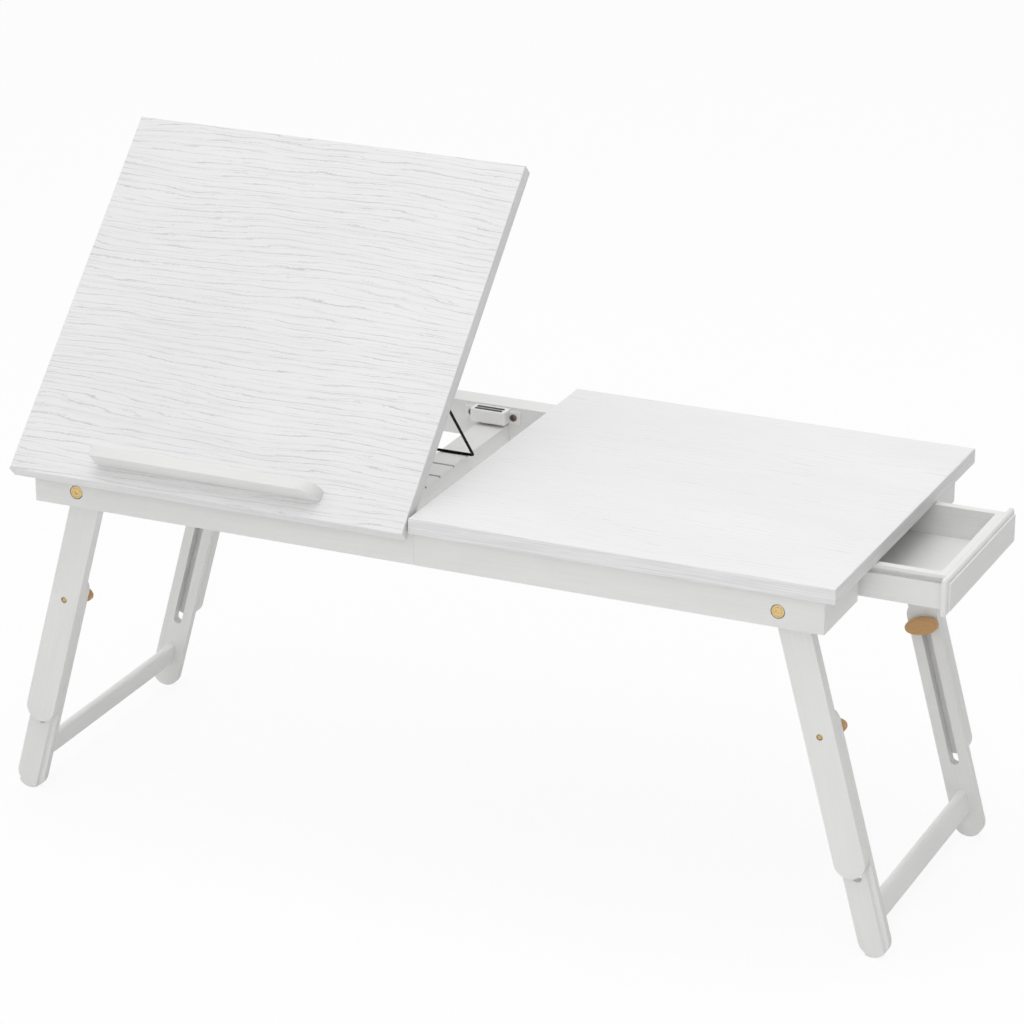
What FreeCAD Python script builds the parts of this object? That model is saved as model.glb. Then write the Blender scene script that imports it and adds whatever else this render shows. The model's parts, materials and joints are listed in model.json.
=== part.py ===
import FreeCAD, Part
import math
import os
import Sketcher

# Laptop bed tray: a split table top on a railed frame, one half of which tilts on a wire prop,
# with a shallow drawer in the right end and two pairs of folding, telescoping legs.
#
# Lengths are millimetres and angles are degrees. X runs along the table to the drawer, Y runs from
# the user's side to the back and Z is up. The tray is drawn as it stands in use: left half tilted,
# drawer part open, legs spread and fully drawn out. Sizes whose names end in _z count from the top
# surface of the fixed half of the table, so they are negative below it.

os.makedirs("parts", exist_ok=True)
doc = FreeCAD.newDocument("laptop_bed_tray")

Vector = FreeCAD.Vector
Constraint = Sketcher.Constraint

DRIVING_SIZES = {
    # Table top
    "board_length": 329.4,
    "board_depth": 310,
    "board_thickness": 12,
    "board_gap": 1.7,
    "board_edge_round": 0.8,
    "tilt_angle": 45,
    # Frame of rails under the boards
    "overhang_end": 11.2,
    "overhang_side": 11.3,
    "rail_height": 29,
    "rail_thickness": 20,
    "end_rail_thickness": 18,
    "centre_rail_left": 9,
    "centre_rail_right": 11,
    # Book stop on the tilting board
    "stop_length": 187,
    "stop_setback": 14.2,
    "stop_thickness": 9.1,
    "stop_height": 17.5,
    "stop_end_round": 15.5,
    # Hinges of the tilting board
    "hinge_setback": 9.1,
    "hinge_drop": 13.6,
    "hinge_pitch": 192,
    "hinge_length": 50,
    "knuckle_count": 3,
    "knuckle_gap": 0.4,
    "knuckle_radius": 1.9,
    "pin_radius": 0.9,
    "pin_clearance": 0.05,
    "leaf_width": 17.5,
    "leaf_thickness": 1.2,
    "closing_gap": 0.3,
    # Wire prop and its brackets
    "prop_pivot_along": 116,
    "prop_pivot_drop": 7,
    "prop_groove_setback": 200,
    "prop_lift": 0.3,
    "wire_radius": 1.1,
    "wire_bend_cut": 1.8,
    "wire_foot_overlap": 5,
    "wire_spread": 37.7,
    "wire_stub": 7,
    "wire_stub_end": 0.4,
    "bracket_width": 4.5,
    "bracket_length": 13,
    "bracket_round": 3.2,
    "bracket_clearance": 0.06,
    # Grooved beam that the prop stands on
    "beam_width": 24,
    "beam_centre_x": -56.15,
    "beam_top_z": -26.1,
    "groove_radius": 1.4,
    "groove_pitch": 25,
    "groove_count": 5,
    # Magnetic catch on the back rail
    "catch_centre_x": -57.6,
    "catch_flange_length": 47.6,
    "catch_flange_height": 10.4,
    "catch_flange_thickness": 2,
    "catch_flange_top_z": -14.9,
    "catch_body_length": 29.6,
    "catch_body_depth": 12.7,
    "catch_body_height": 10.7,
    "catch_body_top_z": -13.2,
    "catch_plate_length": 23,
    "catch_plate_thickness": 2,
    "catch_plate_pitch": 4.6,
    "catch_plate_rise": 0.6,
    "catch_plate_depth": 7,
    "catch_screw_pitch": 36,
    "catch_screw_z": -19.9,
    "small_screw_radius": 1.5,
    "small_head_radius": 2.9,
    "small_head_height": 1.6,
    "small_screw_length": 12,
    "strike_length": 30,
    "strike_width": 13,
    "strike_setback": 1,
    "strike_thickness": 0.6,
    # Legs
    "pivot_setback": 17.45,
    "pivot_drop": 29,
    "leg_splay": 15,
    "leg_width": 24.2,
    "leg_rail_gap": 0.4,
    "upper_leg_thickness": 10,
    "upper_leg_reach": 202.7,
    "lower_leg_thickness": 6.3,
    "lower_leg_top": 97.4,
    "lower_leg_reach": 268.5,
    "slide_gap": 0.3,
    "tongue_height": 2.4,
    "tongue_width": 17,
    "tongue_slant": 1.0,
    "slot_width": 7.4,
    "slot_end": 217,
    "clamp_reach": 104.1,
    "bar_width": 19.6,
    "bar_thickness": 7.5,
    "bar_edge_round": 3.2,
    "bar_reach": 251.6,
    "bar_tenon_radius": 3.2,
    "bar_tenon_length": 4.5,
    "joint_clearance": 0.1,
    # Pivot screws
    "cap_radius": 4.9,
    "cap_height": 2.4,
    "cap_sink": 0.4,
    "cap_recess_radius": 5.4,
    "socket_flat": 1.75,
    "cap_socket_depth": 1.5,
    "pivot_shank_radius": 4,
    "pivot_running_clearance": 0.06,
    "pivot_end_clearance": 0.4,
    # Clamp knobs
    "bolt_radius": 1.9,
    "bolt_sink": 0.7,
    "bolt_hole_radius": 2.5,
    "insert_flat": 3.1,
    "insert_clearance": 0.05,
    "insert_seat": 1.7,
    "knob_gap": 0.3,
    "knob_boss_radius": 6.3,
    "knob_boss_height": 1.6,
    "knob_length": 26.6,
    "knob_width": 13.2,
    "knob_end_radius": 4.4,
    "knob_thickness": 6.6,
    "knob_bolt_depth": 4.5,
    # Drawer
    "drawer_open": 63.3,
    "drawer_opening_width": 148.8,
    "drawer_width": 137,
    "drawer_length": 240,
    "drawer_top_gap": 0.8,
    "drawer_height": 26.4,
    "drawer_side_thickness": 6.5,
    "drawer_wall_thickness": 5.5,
    "drawer_floor_thickness": 2.4,
    "drawer_rebate_depth": 3,
    "front_width": 157,
    "front_height": 27.6,
    "front_thickness": 4.5,
    "front_edge_round": 2.6,
    "field_inset": 3.2,
    "field_height": 1.4,
    "runner_groove_top_drop": 2.9,
    "runner_groove_height": 4.2,
    "runner_groove_depth": 3.5,
    "runner_clearance": 0.3,
    "runner_height": 11,
    "runner_end_setback": 2,
}

WORKED_OUT_SIZES = {
    "board_inner_x": "=board_gap/2",
    "board_outer_x": "=board_inner_x+board_length",
    "half_depth": "=board_depth/2",
    "board_under_z": "=-board_thickness",
    "frame_x": "=board_outer_x-overhang_end",
    "frame_y": "=half_depth-overhang_side",
    "inner_x": "=frame_x-end_rail_thickness",
    "inner_y": "=frame_y-rail_thickness",
    # Tilting board, measured from the hinge axis
    "hinge_axis_y": "=half_depth-hinge_setback",
    "tilt_front": "=-hinge_setback",
    "tilt_back": "=board_depth-hinge_setback",
    "tilt_under": "=hinge_drop-board_thickness+closing_gap",
    "tilt_top": "=tilt_under+board_thickness",
    "hinge_half": "=hinge_length/2",
    "hinge_centre_x": "=(board_inner_x+board_outer_x)/2",
    "hinge_near_x": "=hinge_centre_x-hinge_pitch/2",
    "hinge_far_x": "=hinge_centre_x+hinge_pitch/2",
    "hinge_near_start": "=hinge_near_x-hinge_half",
    "hinge_near_end": "=hinge_near_x+hinge_half",
    "hinge_far_start": "=hinge_far_x-hinge_half",
    "hinge_far_end": "=hinge_far_x+hinge_half",
    "knuckle_pitch": "=hinge_length/knuckle_count",
    "knuckle_length": "=knuckle_pitch-knuckle_gap",
    "knuckle_pattern_pitch": "=2*knuckle_pitch",
    "frame_knuckle_start": "=knuckle_gap/2-hinge_half",
    "board_knuckle_start": "=frame_knuckle_start+knuckle_pitch",
    "frame_knuckle_count": "=(knuckle_count+1)/2",
    "board_knuckle_count": "=(knuckle_count-1)/2",
    "pin_bore_radius": "=pin_radius+pin_clearance",
    "knuckle_clear": "=knuckle_radius+0.6",
    "rail_top_rise": "=hinge_drop-board_thickness",
    "frame_leaf_under": "=rail_top_rise-leaf_thickness",
    "board_leaf_top": "=tilt_under+leaf_thickness",
    "neck_edge": "=knuckle_radius/2",
    "neck_front": "=neck_edge+0.2",
    "leaf_recess_y": "=leaf_width-hinge_axis_y",
    "stop_front": "=stop_setback-hinge_setback",
    "stop_back": "=stop_front+stop_thickness",
    "stop_start": "=hinge_centre_x-stop_length/2",
    "stop_end": "=hinge_centre_x+stop_length/2",
    "stop_top": "=tilt_top+stop_height",
    # Prop, in the plane of the wire with the pivot at zero
    "wire_bore_radius": "=wire_radius+bracket_clearance",
    "prop_pivot_rise": "=tilt_under-prop_pivot_drop",
    "prop_pivot_y": "=prop_pivot_along*cos(tilt_angle*1deg)-prop_pivot_rise*sin(tilt_angle*1deg)-hinge_axis_y",
    "prop_pivot_z": "=prop_pivot_along*sin(tilt_angle*1deg)+prop_pivot_rise*cos(tilt_angle*1deg)-hinge_drop",
    "prop_foot_y": "=prop_groove_setback-half_depth",
    "prop_foot_z": "=beam_top_z+prop_lift+wire_radius",
    "prop_run": "=prop_foot_y-prop_pivot_y",
    "prop_fall": "=prop_pivot_z-prop_foot_z",
    "prop_length": "=sqrt(prop_run^2+prop_fall^2)",
    "prop_angle": "=atan(prop_fall/prop_run)/1deg",
    "wire_foot_x": "=beam_width/2+wire_foot_overlap",
    "wire_stub_x": "=wire_spread+wire_stub",
    "wire_narrowing": "=wire_spread-wire_foot_x",
    "wire_leg_length": "=sqrt(prop_length^2+wire_narrowing^2)",
    "wire_cut_across": "=wire_bend_cut*wire_narrowing/wire_leg_length",
    "wire_cut_along": "=wire_bend_cut*prop_length/wire_leg_length",
    "wire_bend_out_x": "=wire_spread+wire_bend_cut",
    "wire_bend_in_x": "=wire_spread-wire_cut_across",
    "wire_bend_y": "=wire_cut_along",
    "wire_turn_out_x": "=wire_foot_x+wire_cut_across",
    "wire_turn_y": "=prop_length-wire_cut_along",
    "wire_turn_in_x": "=wire_foot_x-wire_bend_cut",
    "bracket_near": "=wire_stub_x-wire_stub_end-bracket_width",
    "bracket_half": "=bracket_length/2",
    "bracket_far_start": "=-bracket_near-bracket_width",
    # Beam, catch and strike plate
    "beam_left_x": "=beam_centre_x-beam_width/2",
    "beam_height": "=beam_top_z-board_under_z+rail_height",
    "beam_under_z": "=beam_top_z-beam_height",
    "groove_first_y": "=prop_foot_y",
    "catch_body_y": "=inner_y-catch_body_depth",
    "catch_half": "=catch_body_length/2",
    "catch_body_under_z": "=catch_body_top_z-catch_body_height",
    "catch_edge_round": "=catch_flange_thickness/2",
    "catch_flange_y": "=inner_y-catch_flange_thickness",
    "catch_flange_half": "=catch_flange_length/2",
    "catch_flange_under_z": "=catch_flange_top_z-catch_flange_height",
    "catch_plate_top_z": "=catch_body_top_z+catch_plate_rise",
    "catch_plate_y": "=inner_y-catch_body_depth/2-catch_plate_thickness/2",
    "catch_plate_front_y": "=catch_plate_y-catch_plate_pitch/2",
    "catch_plate_back_y": "=catch_plate_y+catch_plate_pitch/2",
    "catch_plate_half": "=catch_plate_length/2",
    "catch_plate_under_z": "=catch_body_top_z-catch_plate_depth",
    "catch_slot_half": "=catch_plate_half+joint_clearance",
    "catch_slot_depth": "=catch_plate_depth+joint_clearance",
    "plate_front_low": "=catch_plate_front_y-catch_plate_thickness/2-joint_clearance",
    "plate_front_high": "=catch_plate_front_y+catch_plate_thickness/2+joint_clearance",
    "plate_back_low": "=catch_plate_back_y-catch_plate_thickness/2-joint_clearance",
    "plate_back_high": "=catch_plate_back_y+catch_plate_thickness/2+joint_clearance",
    "small_hole_radius": "=small_screw_radius+joint_clearance",
    "small_pilot_depth": "=small_screw_length-catch_flange_thickness+joint_clearance",
    "catch_screw_half": "=catch_screw_pitch/2",
    "catch_screw_near_x": "=-catch_centre_x-catch_screw_pitch/2",
    "catch_screw_far_x": "=-catch_centre_x+catch_screw_pitch/2",
    "strike_under": "=tilt_under-strike_thickness",
    "strike_half_length": "=strike_length/2",
    "strike_back": "=hinge_axis_y+inner_y-strike_setback",
    "strike_front": "=strike_back-strike_width",
    # Legs, in a frame at the pivot with the thickness growing away from the rail
    "pivot_x": "=inner_x-pivot_setback",
    "leg_radius": "=leg_width/2",
    "leg_outer_y": "=inner_y-leg_rail_gap",
    "leg_total": "=upper_leg_thickness+slide_gap+lower_leg_thickness",
    "lower_leg_y": "=upper_leg_thickness+slide_gap",
    "tongue_half": "=tongue_width/2",
    "tongue_tip_half": "=tongue_half-tongue_slant",
    "tongue_tip_y": "=lower_leg_y-tongue_height",
    "lower_leg_depth": "=lower_leg_thickness+tongue_height",
    "channel_floor_y": "=upper_leg_thickness-tongue_height",
    "channel_mouth_half": "=tongue_half+slide_gap",
    "channel_floor_half": "=tongue_tip_half+slide_gap",
    "slot_radius": "=slot_width/2",
    "leg_end_past_pivot": "=2*leg_radius",
    "bar_half": "=leg_outer_y-leg_total",
    "bar_half_thickness": "=bar_thickness/2",
    "bar_near_reach": "=bar_reach-bar_width/2",
    "bar_far_reach": "=bar_reach+bar_width/2",
    "bar_tenon_half": "=bar_half+bar_tenon_length",
    "bar_length": "=2*bar_half",
    "bar_tenon_span": "=2*bar_tenon_half",
    "bar_socket_radius": "=bar_tenon_radius+joint_clearance",
    "bar_socket_depth": "=bar_tenon_length+joint_clearance",
    "bar_socket_y": "=leg_total-bar_socket_depth",
    # Pivot screws, clamp bolts and knobs, in a frame on their own axis
    "cap_top": "=cap_sink",
    "cap_under": "=cap_sink+cap_height",
    "socket_corner": "=socket_flat/cos(30*1deg)",
    "socket_side": "=socket_corner/2",
    "pivot_screw_end": "=rail_thickness+leg_rail_gap+channel_floor_y-pivot_end_clearance",
    "pivot_rail_bore_radius": "=pivot_shank_radius+joint_clearance",
    "pivot_leg_bore_radius": "=pivot_shank_radius+pivot_running_clearance",
    "insert_bore_radius": "=bolt_radius+insert_clearance",
    "insert_corner": "=insert_flat/cos(30*1deg)",
    "insert_side": "=insert_corner/2",
    "insert_length": "=channel_floor_y-insert_clearance-insert_seat",
    "seat_flat": "=insert_flat+insert_clearance",
    "seat_corner": "=seat_flat/cos(30*1deg)",
    "seat_side": "=seat_corner/2",
    "seat_near_reach": "=clamp_reach-seat_flat",
    "seat_far_reach": "=clamp_reach+seat_flat",
    "knob_end_centre": "=knob_length/2-knob_end_radius",
    "knob_side_rise": "=knob_width/2-knob_end_radius",
    "knob_side_drop": "=(knob_end_centre^2-knob_side_rise^2)/(2*knob_side_rise)",
    "knob_side_radius": "=knob_side_drop+knob_width/2",
    "knob_foot": "=leg_total+knob_gap",
    "knob_back": "=knob_foot+knob_boss_height",
    "knob_face": "=knob_back+knob_thickness",
    "knob_bore_end": "=knob_back+knob_bolt_depth+joint_clearance",
    "knob_bore_depth": "=knob_bore_end-knob_foot",
    "bolt_end": "=knob_back+knob_bolt_depth",
    # Drawer, at its part-open place
    "opening_half": "=drawer_opening_width/2",
    "drawer_front_x": "=frame_x+drawer_open",
    "drawer_back_x": "=drawer_front_x-drawer_length",
    "drawer_wall_x": "=drawer_front_x-drawer_wall_thickness",
    "drawer_rebate_x": "=drawer_wall_x+drawer_rebate_depth",
    "drawer_lip_thickness": "=drawer_front_x-drawer_rebate_x",
    "drawer_floor_end_x": "=drawer_rebate_x-joint_clearance",
    "drawer_half": "=drawer_width/2",
    "drawer_inner_half": "=drawer_half-drawer_side_thickness",
    "drawer_rebate_half": "=drawer_inner_half+drawer_rebate_depth",
    "drawer_floor_half": "=drawer_rebate_half-joint_clearance",
    "drawer_top_z": "=board_under_z-drawer_top_gap",
    "drawer_under_z": "=drawer_top_z-drawer_height",
    "drawer_floor_z": "=drawer_under_z+drawer_floor_thickness",
    "front_half": "=front_width/2",
    "front_under_z": "=drawer_top_z-front_height",
    "field_half": "=front_half-field_inset",
    "field_top_z": "=drawer_top_z-field_inset",
    "field_under_z": "=front_under_z+field_inset",
    "front_total": "=front_thickness+field_height",
    "runner_groove_top_z": "=drawer_top_z-runner_groove_top_drop",
    "runner_groove_under_z": "=runner_groove_top_z-runner_groove_height",
    "runner_groove_floor": "=drawer_half-runner_groove_depth",
    "runner_inner": "=drawer_half+runner_clearance",
    "runner_tip": "=runner_groove_floor+runner_clearance",
    "runner_tongue_top_z": "=runner_groove_top_z-runner_clearance",
    "runner_tongue_under_z": "=runner_groove_under_z+runner_clearance",
    "runner_under_z": "=board_under_z-runner_height",
    "runner_end_x": "=frame_x-runner_end_setback",
    "runner_length": "=runner_end_x-centre_rail_right",
    # Place of the table in the finished frame, whose origin is under the middle of the whole tray
    "foot_x": "=pivot_x+lower_leg_reach*sin(leg_splay*1deg)+leg_radius",
    "drawer_reach_x": "=drawer_front_x+front_total",
    "stop_reach_y": "=hinge_axis_y+(tilt_top+stop_height)*sin(tilt_angle*1deg)-stop_front*cos(tilt_angle*1deg)",
    "table_x": "=(foot_x-drawer_reach_x)/2",
    "table_y": "=(stop_reach_y-half_depth)/2",
    "table_z": "=pivot_drop+lower_leg_reach*cos(leg_splay*1deg)+leg_radius",
}

sheet = doc.addObject("Spreadsheet::Sheet", "Sizes")


def fill_sheet():
    row = 0
    for name, value in {**DRIVING_SIZES, **WORKED_OUT_SIZES}.items():
        row += 1
        sheet.set(f"A{row}", name)
        sheet.set(f"B{row}", str(value))
        sheet.setAlias(f"B{row}", name)
    doc.recompute()


def size(name):
    """Number that a named size holds now. A leading minus turns it round."""
    if name.startswith("-"):
        return -size(name[1:])
    value = sheet.get(name)
    return float(getattr(value, "Value", value))


def bound(name):
    """The same size as an expression that follows the sheet."""
    if name.startswith("-"):
        return "-Sizes." + name[1:]
    return "Sizes." + name


def new_body(name):
    body = doc.addObject("PartDesign::Body", name)
    body.Label = name
    return body


def new_sketch(body, plane, offset=None):
    """Sketch on one of the body's own origin planes, moved along the plane's normal by a size."""
    sketch = body.newObject("Sketcher::SketchObject", body.Name + "_sketch")
    origin_plane = next(item for item in body.Origin.OriginFeatures if item.Role == plane)
    sketch.AttachmentSupport = [(origin_plane, "")]
    sketch.MapMode = "FlatFace"
    if offset is not None:
        sketch.setExpression("AttachmentOffset.Base.z", bound(offset))
    return sketch


def fix_value(sketch, constraint, name):
    index = sketch.addConstraint(constraint)
    sketch.setExpression(f"Constraints[{index}]", bound(name))


def fix_point(sketch, edge, end, across, up):
    """Hold one point of an edge at named distances from the sketch's origin."""
    if across == "0":
        sketch.addConstraint(Constraint("PointOnObject", edge, end, -2))
    else:
        fix_value(sketch, Constraint("DistanceX", -1, 1, edge, end, size(across)), across)
    if up == "0":
        sketch.addConstraint(Constraint("PointOnObject", edge, end, -1))
    else:
        fix_value(sketch, Constraint("DistanceY", -1, 1, edge, end, size(up)), up)


def coordinate(name):
    return 0.0 if name == "0" else size(name)


def polygon(sketch, corners):
    """Closed outline through corners, each a pair of size names."""
    first = sketch.GeometryCount
    points = [Vector(coordinate(across), coordinate(up), 0) for across, up in corners]
    count = len(points)
    for index in range(count):
        sketch.addGeometry(Part.LineSegment(points[index], points[(index + 1) % count]))
    for index in range(count):
        following = first + (index + 1) % count
        sketch.addConstraint(Constraint("Coincident", first + index, 2, following, 1))
    for index, (across, up) in enumerate(corners):
        fix_point(sketch, first + index, 1, across, up)


def rectangle(sketch, left, right, low, high):
    polygon(sketch, [(left, low), (right, low), (right, high), (left, high)])


def hexagon(sketch, corner, side, middle, high, low):
    """Six-sided outline about the upright axis, with two of its sides level."""
    polygon(sketch, [(corner, middle), (side, high), ("-" + side, high),
                     ("-" + corner, middle), ("-" + side, low), (side, low)])


def circle(sketch, across, up, radius):
    edge = sketch.GeometryCount
    centre = Vector(coordinate(across), coordinate(up), 0)
    sketch.addGeometry(Part.Circle(centre, Vector(0, 0, 1), size(radius)))
    fix_point(sketch, edge, 3, across, up)
    fix_value(sketch, Constraint("Radius", edge, size(radius)), radius)


def obround(sketch, top, foot, radius):
    """Bar with half-round ends, standing on the sketch's upright axis."""
    first = sketch.GeometryCount
    high = coordinate(top)
    low = coordinate(foot)
    half = size(radius)
    up_axis = Vector(0, 0, 1)
    sketch.addGeometry(Part.ArcOfCircle(Part.Circle(Vector(0, high, 0), up_axis, half), 0, math.pi))
    sketch.addGeometry(Part.LineSegment(Vector(-half, high, 0), Vector(-half, low, 0)))
    lower_circle = Part.Circle(Vector(0, low, 0), up_axis, half)
    sketch.addGeometry(Part.ArcOfCircle(lower_circle, math.pi, 2 * math.pi))
    sketch.addGeometry(Part.LineSegment(Vector(half, low, 0), Vector(half, high, 0)))
    for index in range(4):
        following = first + (index + 1) % 4
        sketch.addConstraint(Constraint("Tangent", first + index, 2, following, 1))
    fix_point(sketch, first, 3, "0", top)
    fix_point(sketch, first + 2, 3, "0", foot)
    fix_value(sketch, Constraint("Radius", first, half), radius)


def extrude(body, kind, sketch, length, backwards, both_ways):
    feature = body.newObject(kind, body.Name + "_feature")
    feature.Profile = sketch
    if length is None:
        feature.Type = "ThroughAll"
    else:
        feature.setExpression("Length", bound(length))
    feature.Reversed = backwards
    feature.Midplane = both_ways
    sketch.Visibility = False
    return feature


def pad(body, sketch, length, backwards=False, both_ways=False):
    return extrude(body, "PartDesign::Pad", sketch, length, backwards, both_ways)


def pocket(body, sketch, length=None, backwards=False, both_ways=False):
    return extrude(body, "PartDesign::Pocket", sketch, length, backwards, both_ways)


def revolve(body, sketch):
    """Turn a profile about the sketch's upright axis."""
    feature = body.newObject("PartDesign::Revolution", body.Name + "_turned")
    feature.Profile = sketch
    feature.ReferenceAxis = (sketch, ["V_Axis"])
    feature.Angle = 360
    sketch.Visibility = False
    return feature


def repeat(body, originals, axis, pitch, count, backwards=False):
    """Row of copies of earlier features along one of the body's own axes."""
    doc.recompute()
    pattern = body.newObject("PartDesign::LinearPattern", body.Name + "_row")
    pattern.Originals = originals
    origin_axis = next(item for item in body.Origin.OriginFeatures if item.Role == axis)
    pattern.Direction = (origin_axis, [""])
    pattern.Reversed = backwards
    pattern.setExpression("Occurrences", bound(count))
    pattern.setExpression("Length", f"{bound(pitch)} * ({bound(count)} - 1)")
    body.Tip = pattern
    return pattern


def soften(body, radius, chosen, kind="PartDesign::Fillet"):
    """Round or bevel the edges of the body's shape that the test picks."""
    doc.recompute()
    base = body.Tip
    names = []
    for number, edge in enumerate(base.Shape.Edges, 1):
        if chosen(edge):
            names.append(f"Edge{number}")
    feature = body.newObject(kind, body.Name + "_edges")
    feature.Base = (base, names)
    feature.setExpression("Radius" if kind.endswith("Fillet") else "Size", bound(radius))
    return feature


def near(first, second):
    return abs(first - second) < 1e-4


def place(body, across="0", along="0", height="0", turn="0", lean="0", tip="0"):
    """Put a body's frame in the table: turned about Z, then leaned about Y, then tipped about X."""
    base = [f"Sizes.table_{letter} + {bound(name) if name != '0' else '0'}"
            for letter, name in zip("xyz", (across, along, height))]
    turns = []
    for axis, name in (("0;0;1", turn), ("0;1;0", lean), ("1;0;0", tip)):
        if name != "0":
            angle = name if name.isdigit() else bound(name)
            turns.append(f"rotation(vector({axis}); {angle})")
    rotation = " * ".join(turns) if turns else "rotation(vector(0;0;1); 0)"
    body.setExpression("Placement", f"placement(vector({'; '.join(base)}); {rotation})")


# Table top

def board(name, left, right, front, back, under):
    body = new_body(name)
    sketch = new_sketch(body, "XY_Plane", under)
    rectangle(sketch, left, right, front, back)
    pad(body, sketch, "board_thickness")
    return body


def round_board_edges(body):
    soften(body, "board_edge_round", lambda edge: edge.Length > size("board_depth") / 2)


def fixed_top():
    body = board("fixed_top", "board_inner_x", "board_outer_x", "-half_depth", "half_depth", "board_under_z")
    round_board_edges(body)
    place(body)


def cut_hinge_seat(body, start, end):
    """Recess for a leaf and room for the barrel in the tilting board's underside."""
    seat = new_sketch(body, "XY_Plane", "tilt_under")
    rectangle(seat, start, end, "-neck_edge", "leaf_width")
    pocket(body, seat, "leaf_thickness", backwards=True)
    groove = new_sketch(body, "YZ_Plane", start)
    circle(groove, "0", "0", "knuckle_clear")
    pocket(body, groove, "hinge_length", backwards=True)


def tilting_top():
    body = board("tilting_top", "-board_outer_x", "-board_inner_x", "tilt_front", "tilt_back", "tilt_under")
    round_board_edges(body)
    cut_hinge_seat(body, "-hinge_near_end", "-hinge_near_start")
    cut_hinge_seat(body, "-hinge_far_end", "-hinge_far_start")
    place(body, along="-hinge_axis_y", height="-hinge_drop", tip="tilt_angle")


def book_stop():
    """Ledge whose right-hand upper corner is rounded off."""
    body = new_body("book_stop")
    sketch = new_sketch(body, "XZ_Plane", "-stop_front")
    top = "stop_top"
    rectangle(sketch, "-stop_end", "-stop_start", "tilt_top", top)
    pad(body, sketch, "stop_thickness", backwards=True)
    right = -size("stop_start")
    high = size(top)
    soften(body, "stop_end_round",
           lambda edge: near(edge.BoundBox.XMin, right) and near(edge.BoundBox.ZMin, high))
    place(body, along="-hinge_axis_y", height="-hinge_drop", tip="tilt_angle")


# Rails

def side_rail(name, side, turn, pilot_holes=False, hinge_seats=False):
    """Half of a long rail, mitred at the outer corner, with a bore for the leg's pivot screw."""
    body = new_body(name)
    plan = new_sketch(body, "XY_Plane", "board_under_z")
    polygon(plan, [(side + "frame_x", "-frame_y"), ("0", "-frame_y"), ("0", "-inner_y"),
                   (side + "inner_x", "-inner_y")])
    pad(body, plan, "rail_height", backwards=True)
    recess = new_sketch(body, "XZ_Plane", "frame_y")
    circle(recess, side + "pivot_x", "-pivot_drop", "cap_recess_radius")
    pocket(body, recess, "cap_under")
    bore = new_sketch(body, "XZ_Plane", "frame_y")
    circle(bore, side + "pivot_x", "-pivot_drop", "pivot_rail_bore_radius")
    pocket(body, bore)
    if pilot_holes:
        holes = new_sketch(body, "XZ_Plane", "inner_y")
        circle(holes, "catch_screw_near_x", "catch_screw_z", "small_hole_radius")
        circle(holes, "catch_screw_far_x", "catch_screw_z", "small_hole_radius")
        pocket(body, holes, "small_pilot_depth", backwards=True)
    if hinge_seats:
        seats = new_sketch(body, "XY_Plane", "board_under_z")
        rectangle(seats, "-hinge_near_end", "-hinge_near_start", "-frame_y", "leaf_recess_y")
        rectangle(seats, "-hinge_far_end", "-hinge_far_start", "-frame_y", "leaf_recess_y")
        pocket(body, seats, "leaf_thickness")
    place(body, turn=turn)


def flat_rail(name, corners):
    """Rail or block of full height drawn in plan."""
    body = new_body(name)
    plan = new_sketch(body, "XY_Plane", "board_under_z")
    polygon(plan, corners)
    pad(body, plan, "rail_height", backwards=True)
    place(body)


def rails():
    side_rail("front_rail_left", "-", "0", hinge_seats=True)
    side_rail("front_rail_right", "", "0")
    side_rail("back_rail_right", "-", "180")
    side_rail("back_rail_left", "", "180", pilot_holes=True)
    flat_rail("left_end_rail", [("-frame_x", "-frame_y"), ("-inner_x", "-inner_y"),
                                ("-inner_x", "inner_y"), ("-frame_x", "frame_y")])
    for name, side in (("front", "-"), ("back", "")):
        flat_rail(f"right_end_block_{name}", [("frame_x", side + "frame_y"), ("inner_x", side + "inner_y"),
                                              ("inner_x", side + "opening_half"),
                                              ("frame_x", side + "opening_half")])
    flat_rail("centre_rail", [("-centre_rail_left", "-inner_y"), ("centre_rail_right", "-inner_y"),
                              ("centre_rail_right", "inner_y"), ("-centre_rail_left", "inner_y")])


def prop_beam():
    """Cross beam in the left bay with a row of half-round grooves for the prop's foot."""
    body = new_body("prop_beam")
    section = new_sketch(body, "YZ_Plane", "beam_left_x")
    rectangle(section, "-inner_y", "inner_y", "beam_under_z", "beam_top_z")
    pad(body, section, "beam_width")
    groove = new_sketch(body, "YZ_Plane", "beam_left_x")
    circle(groove, "groove_first_y", "beam_top_z", "groove_radius")
    cut = pocket(body, groove, "beam_width", backwards=True)
    repeat(body, [cut], "Y_Axis", "groove_pitch", "groove_count", backwards=True)
    place(body)


# Hinges

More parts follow.
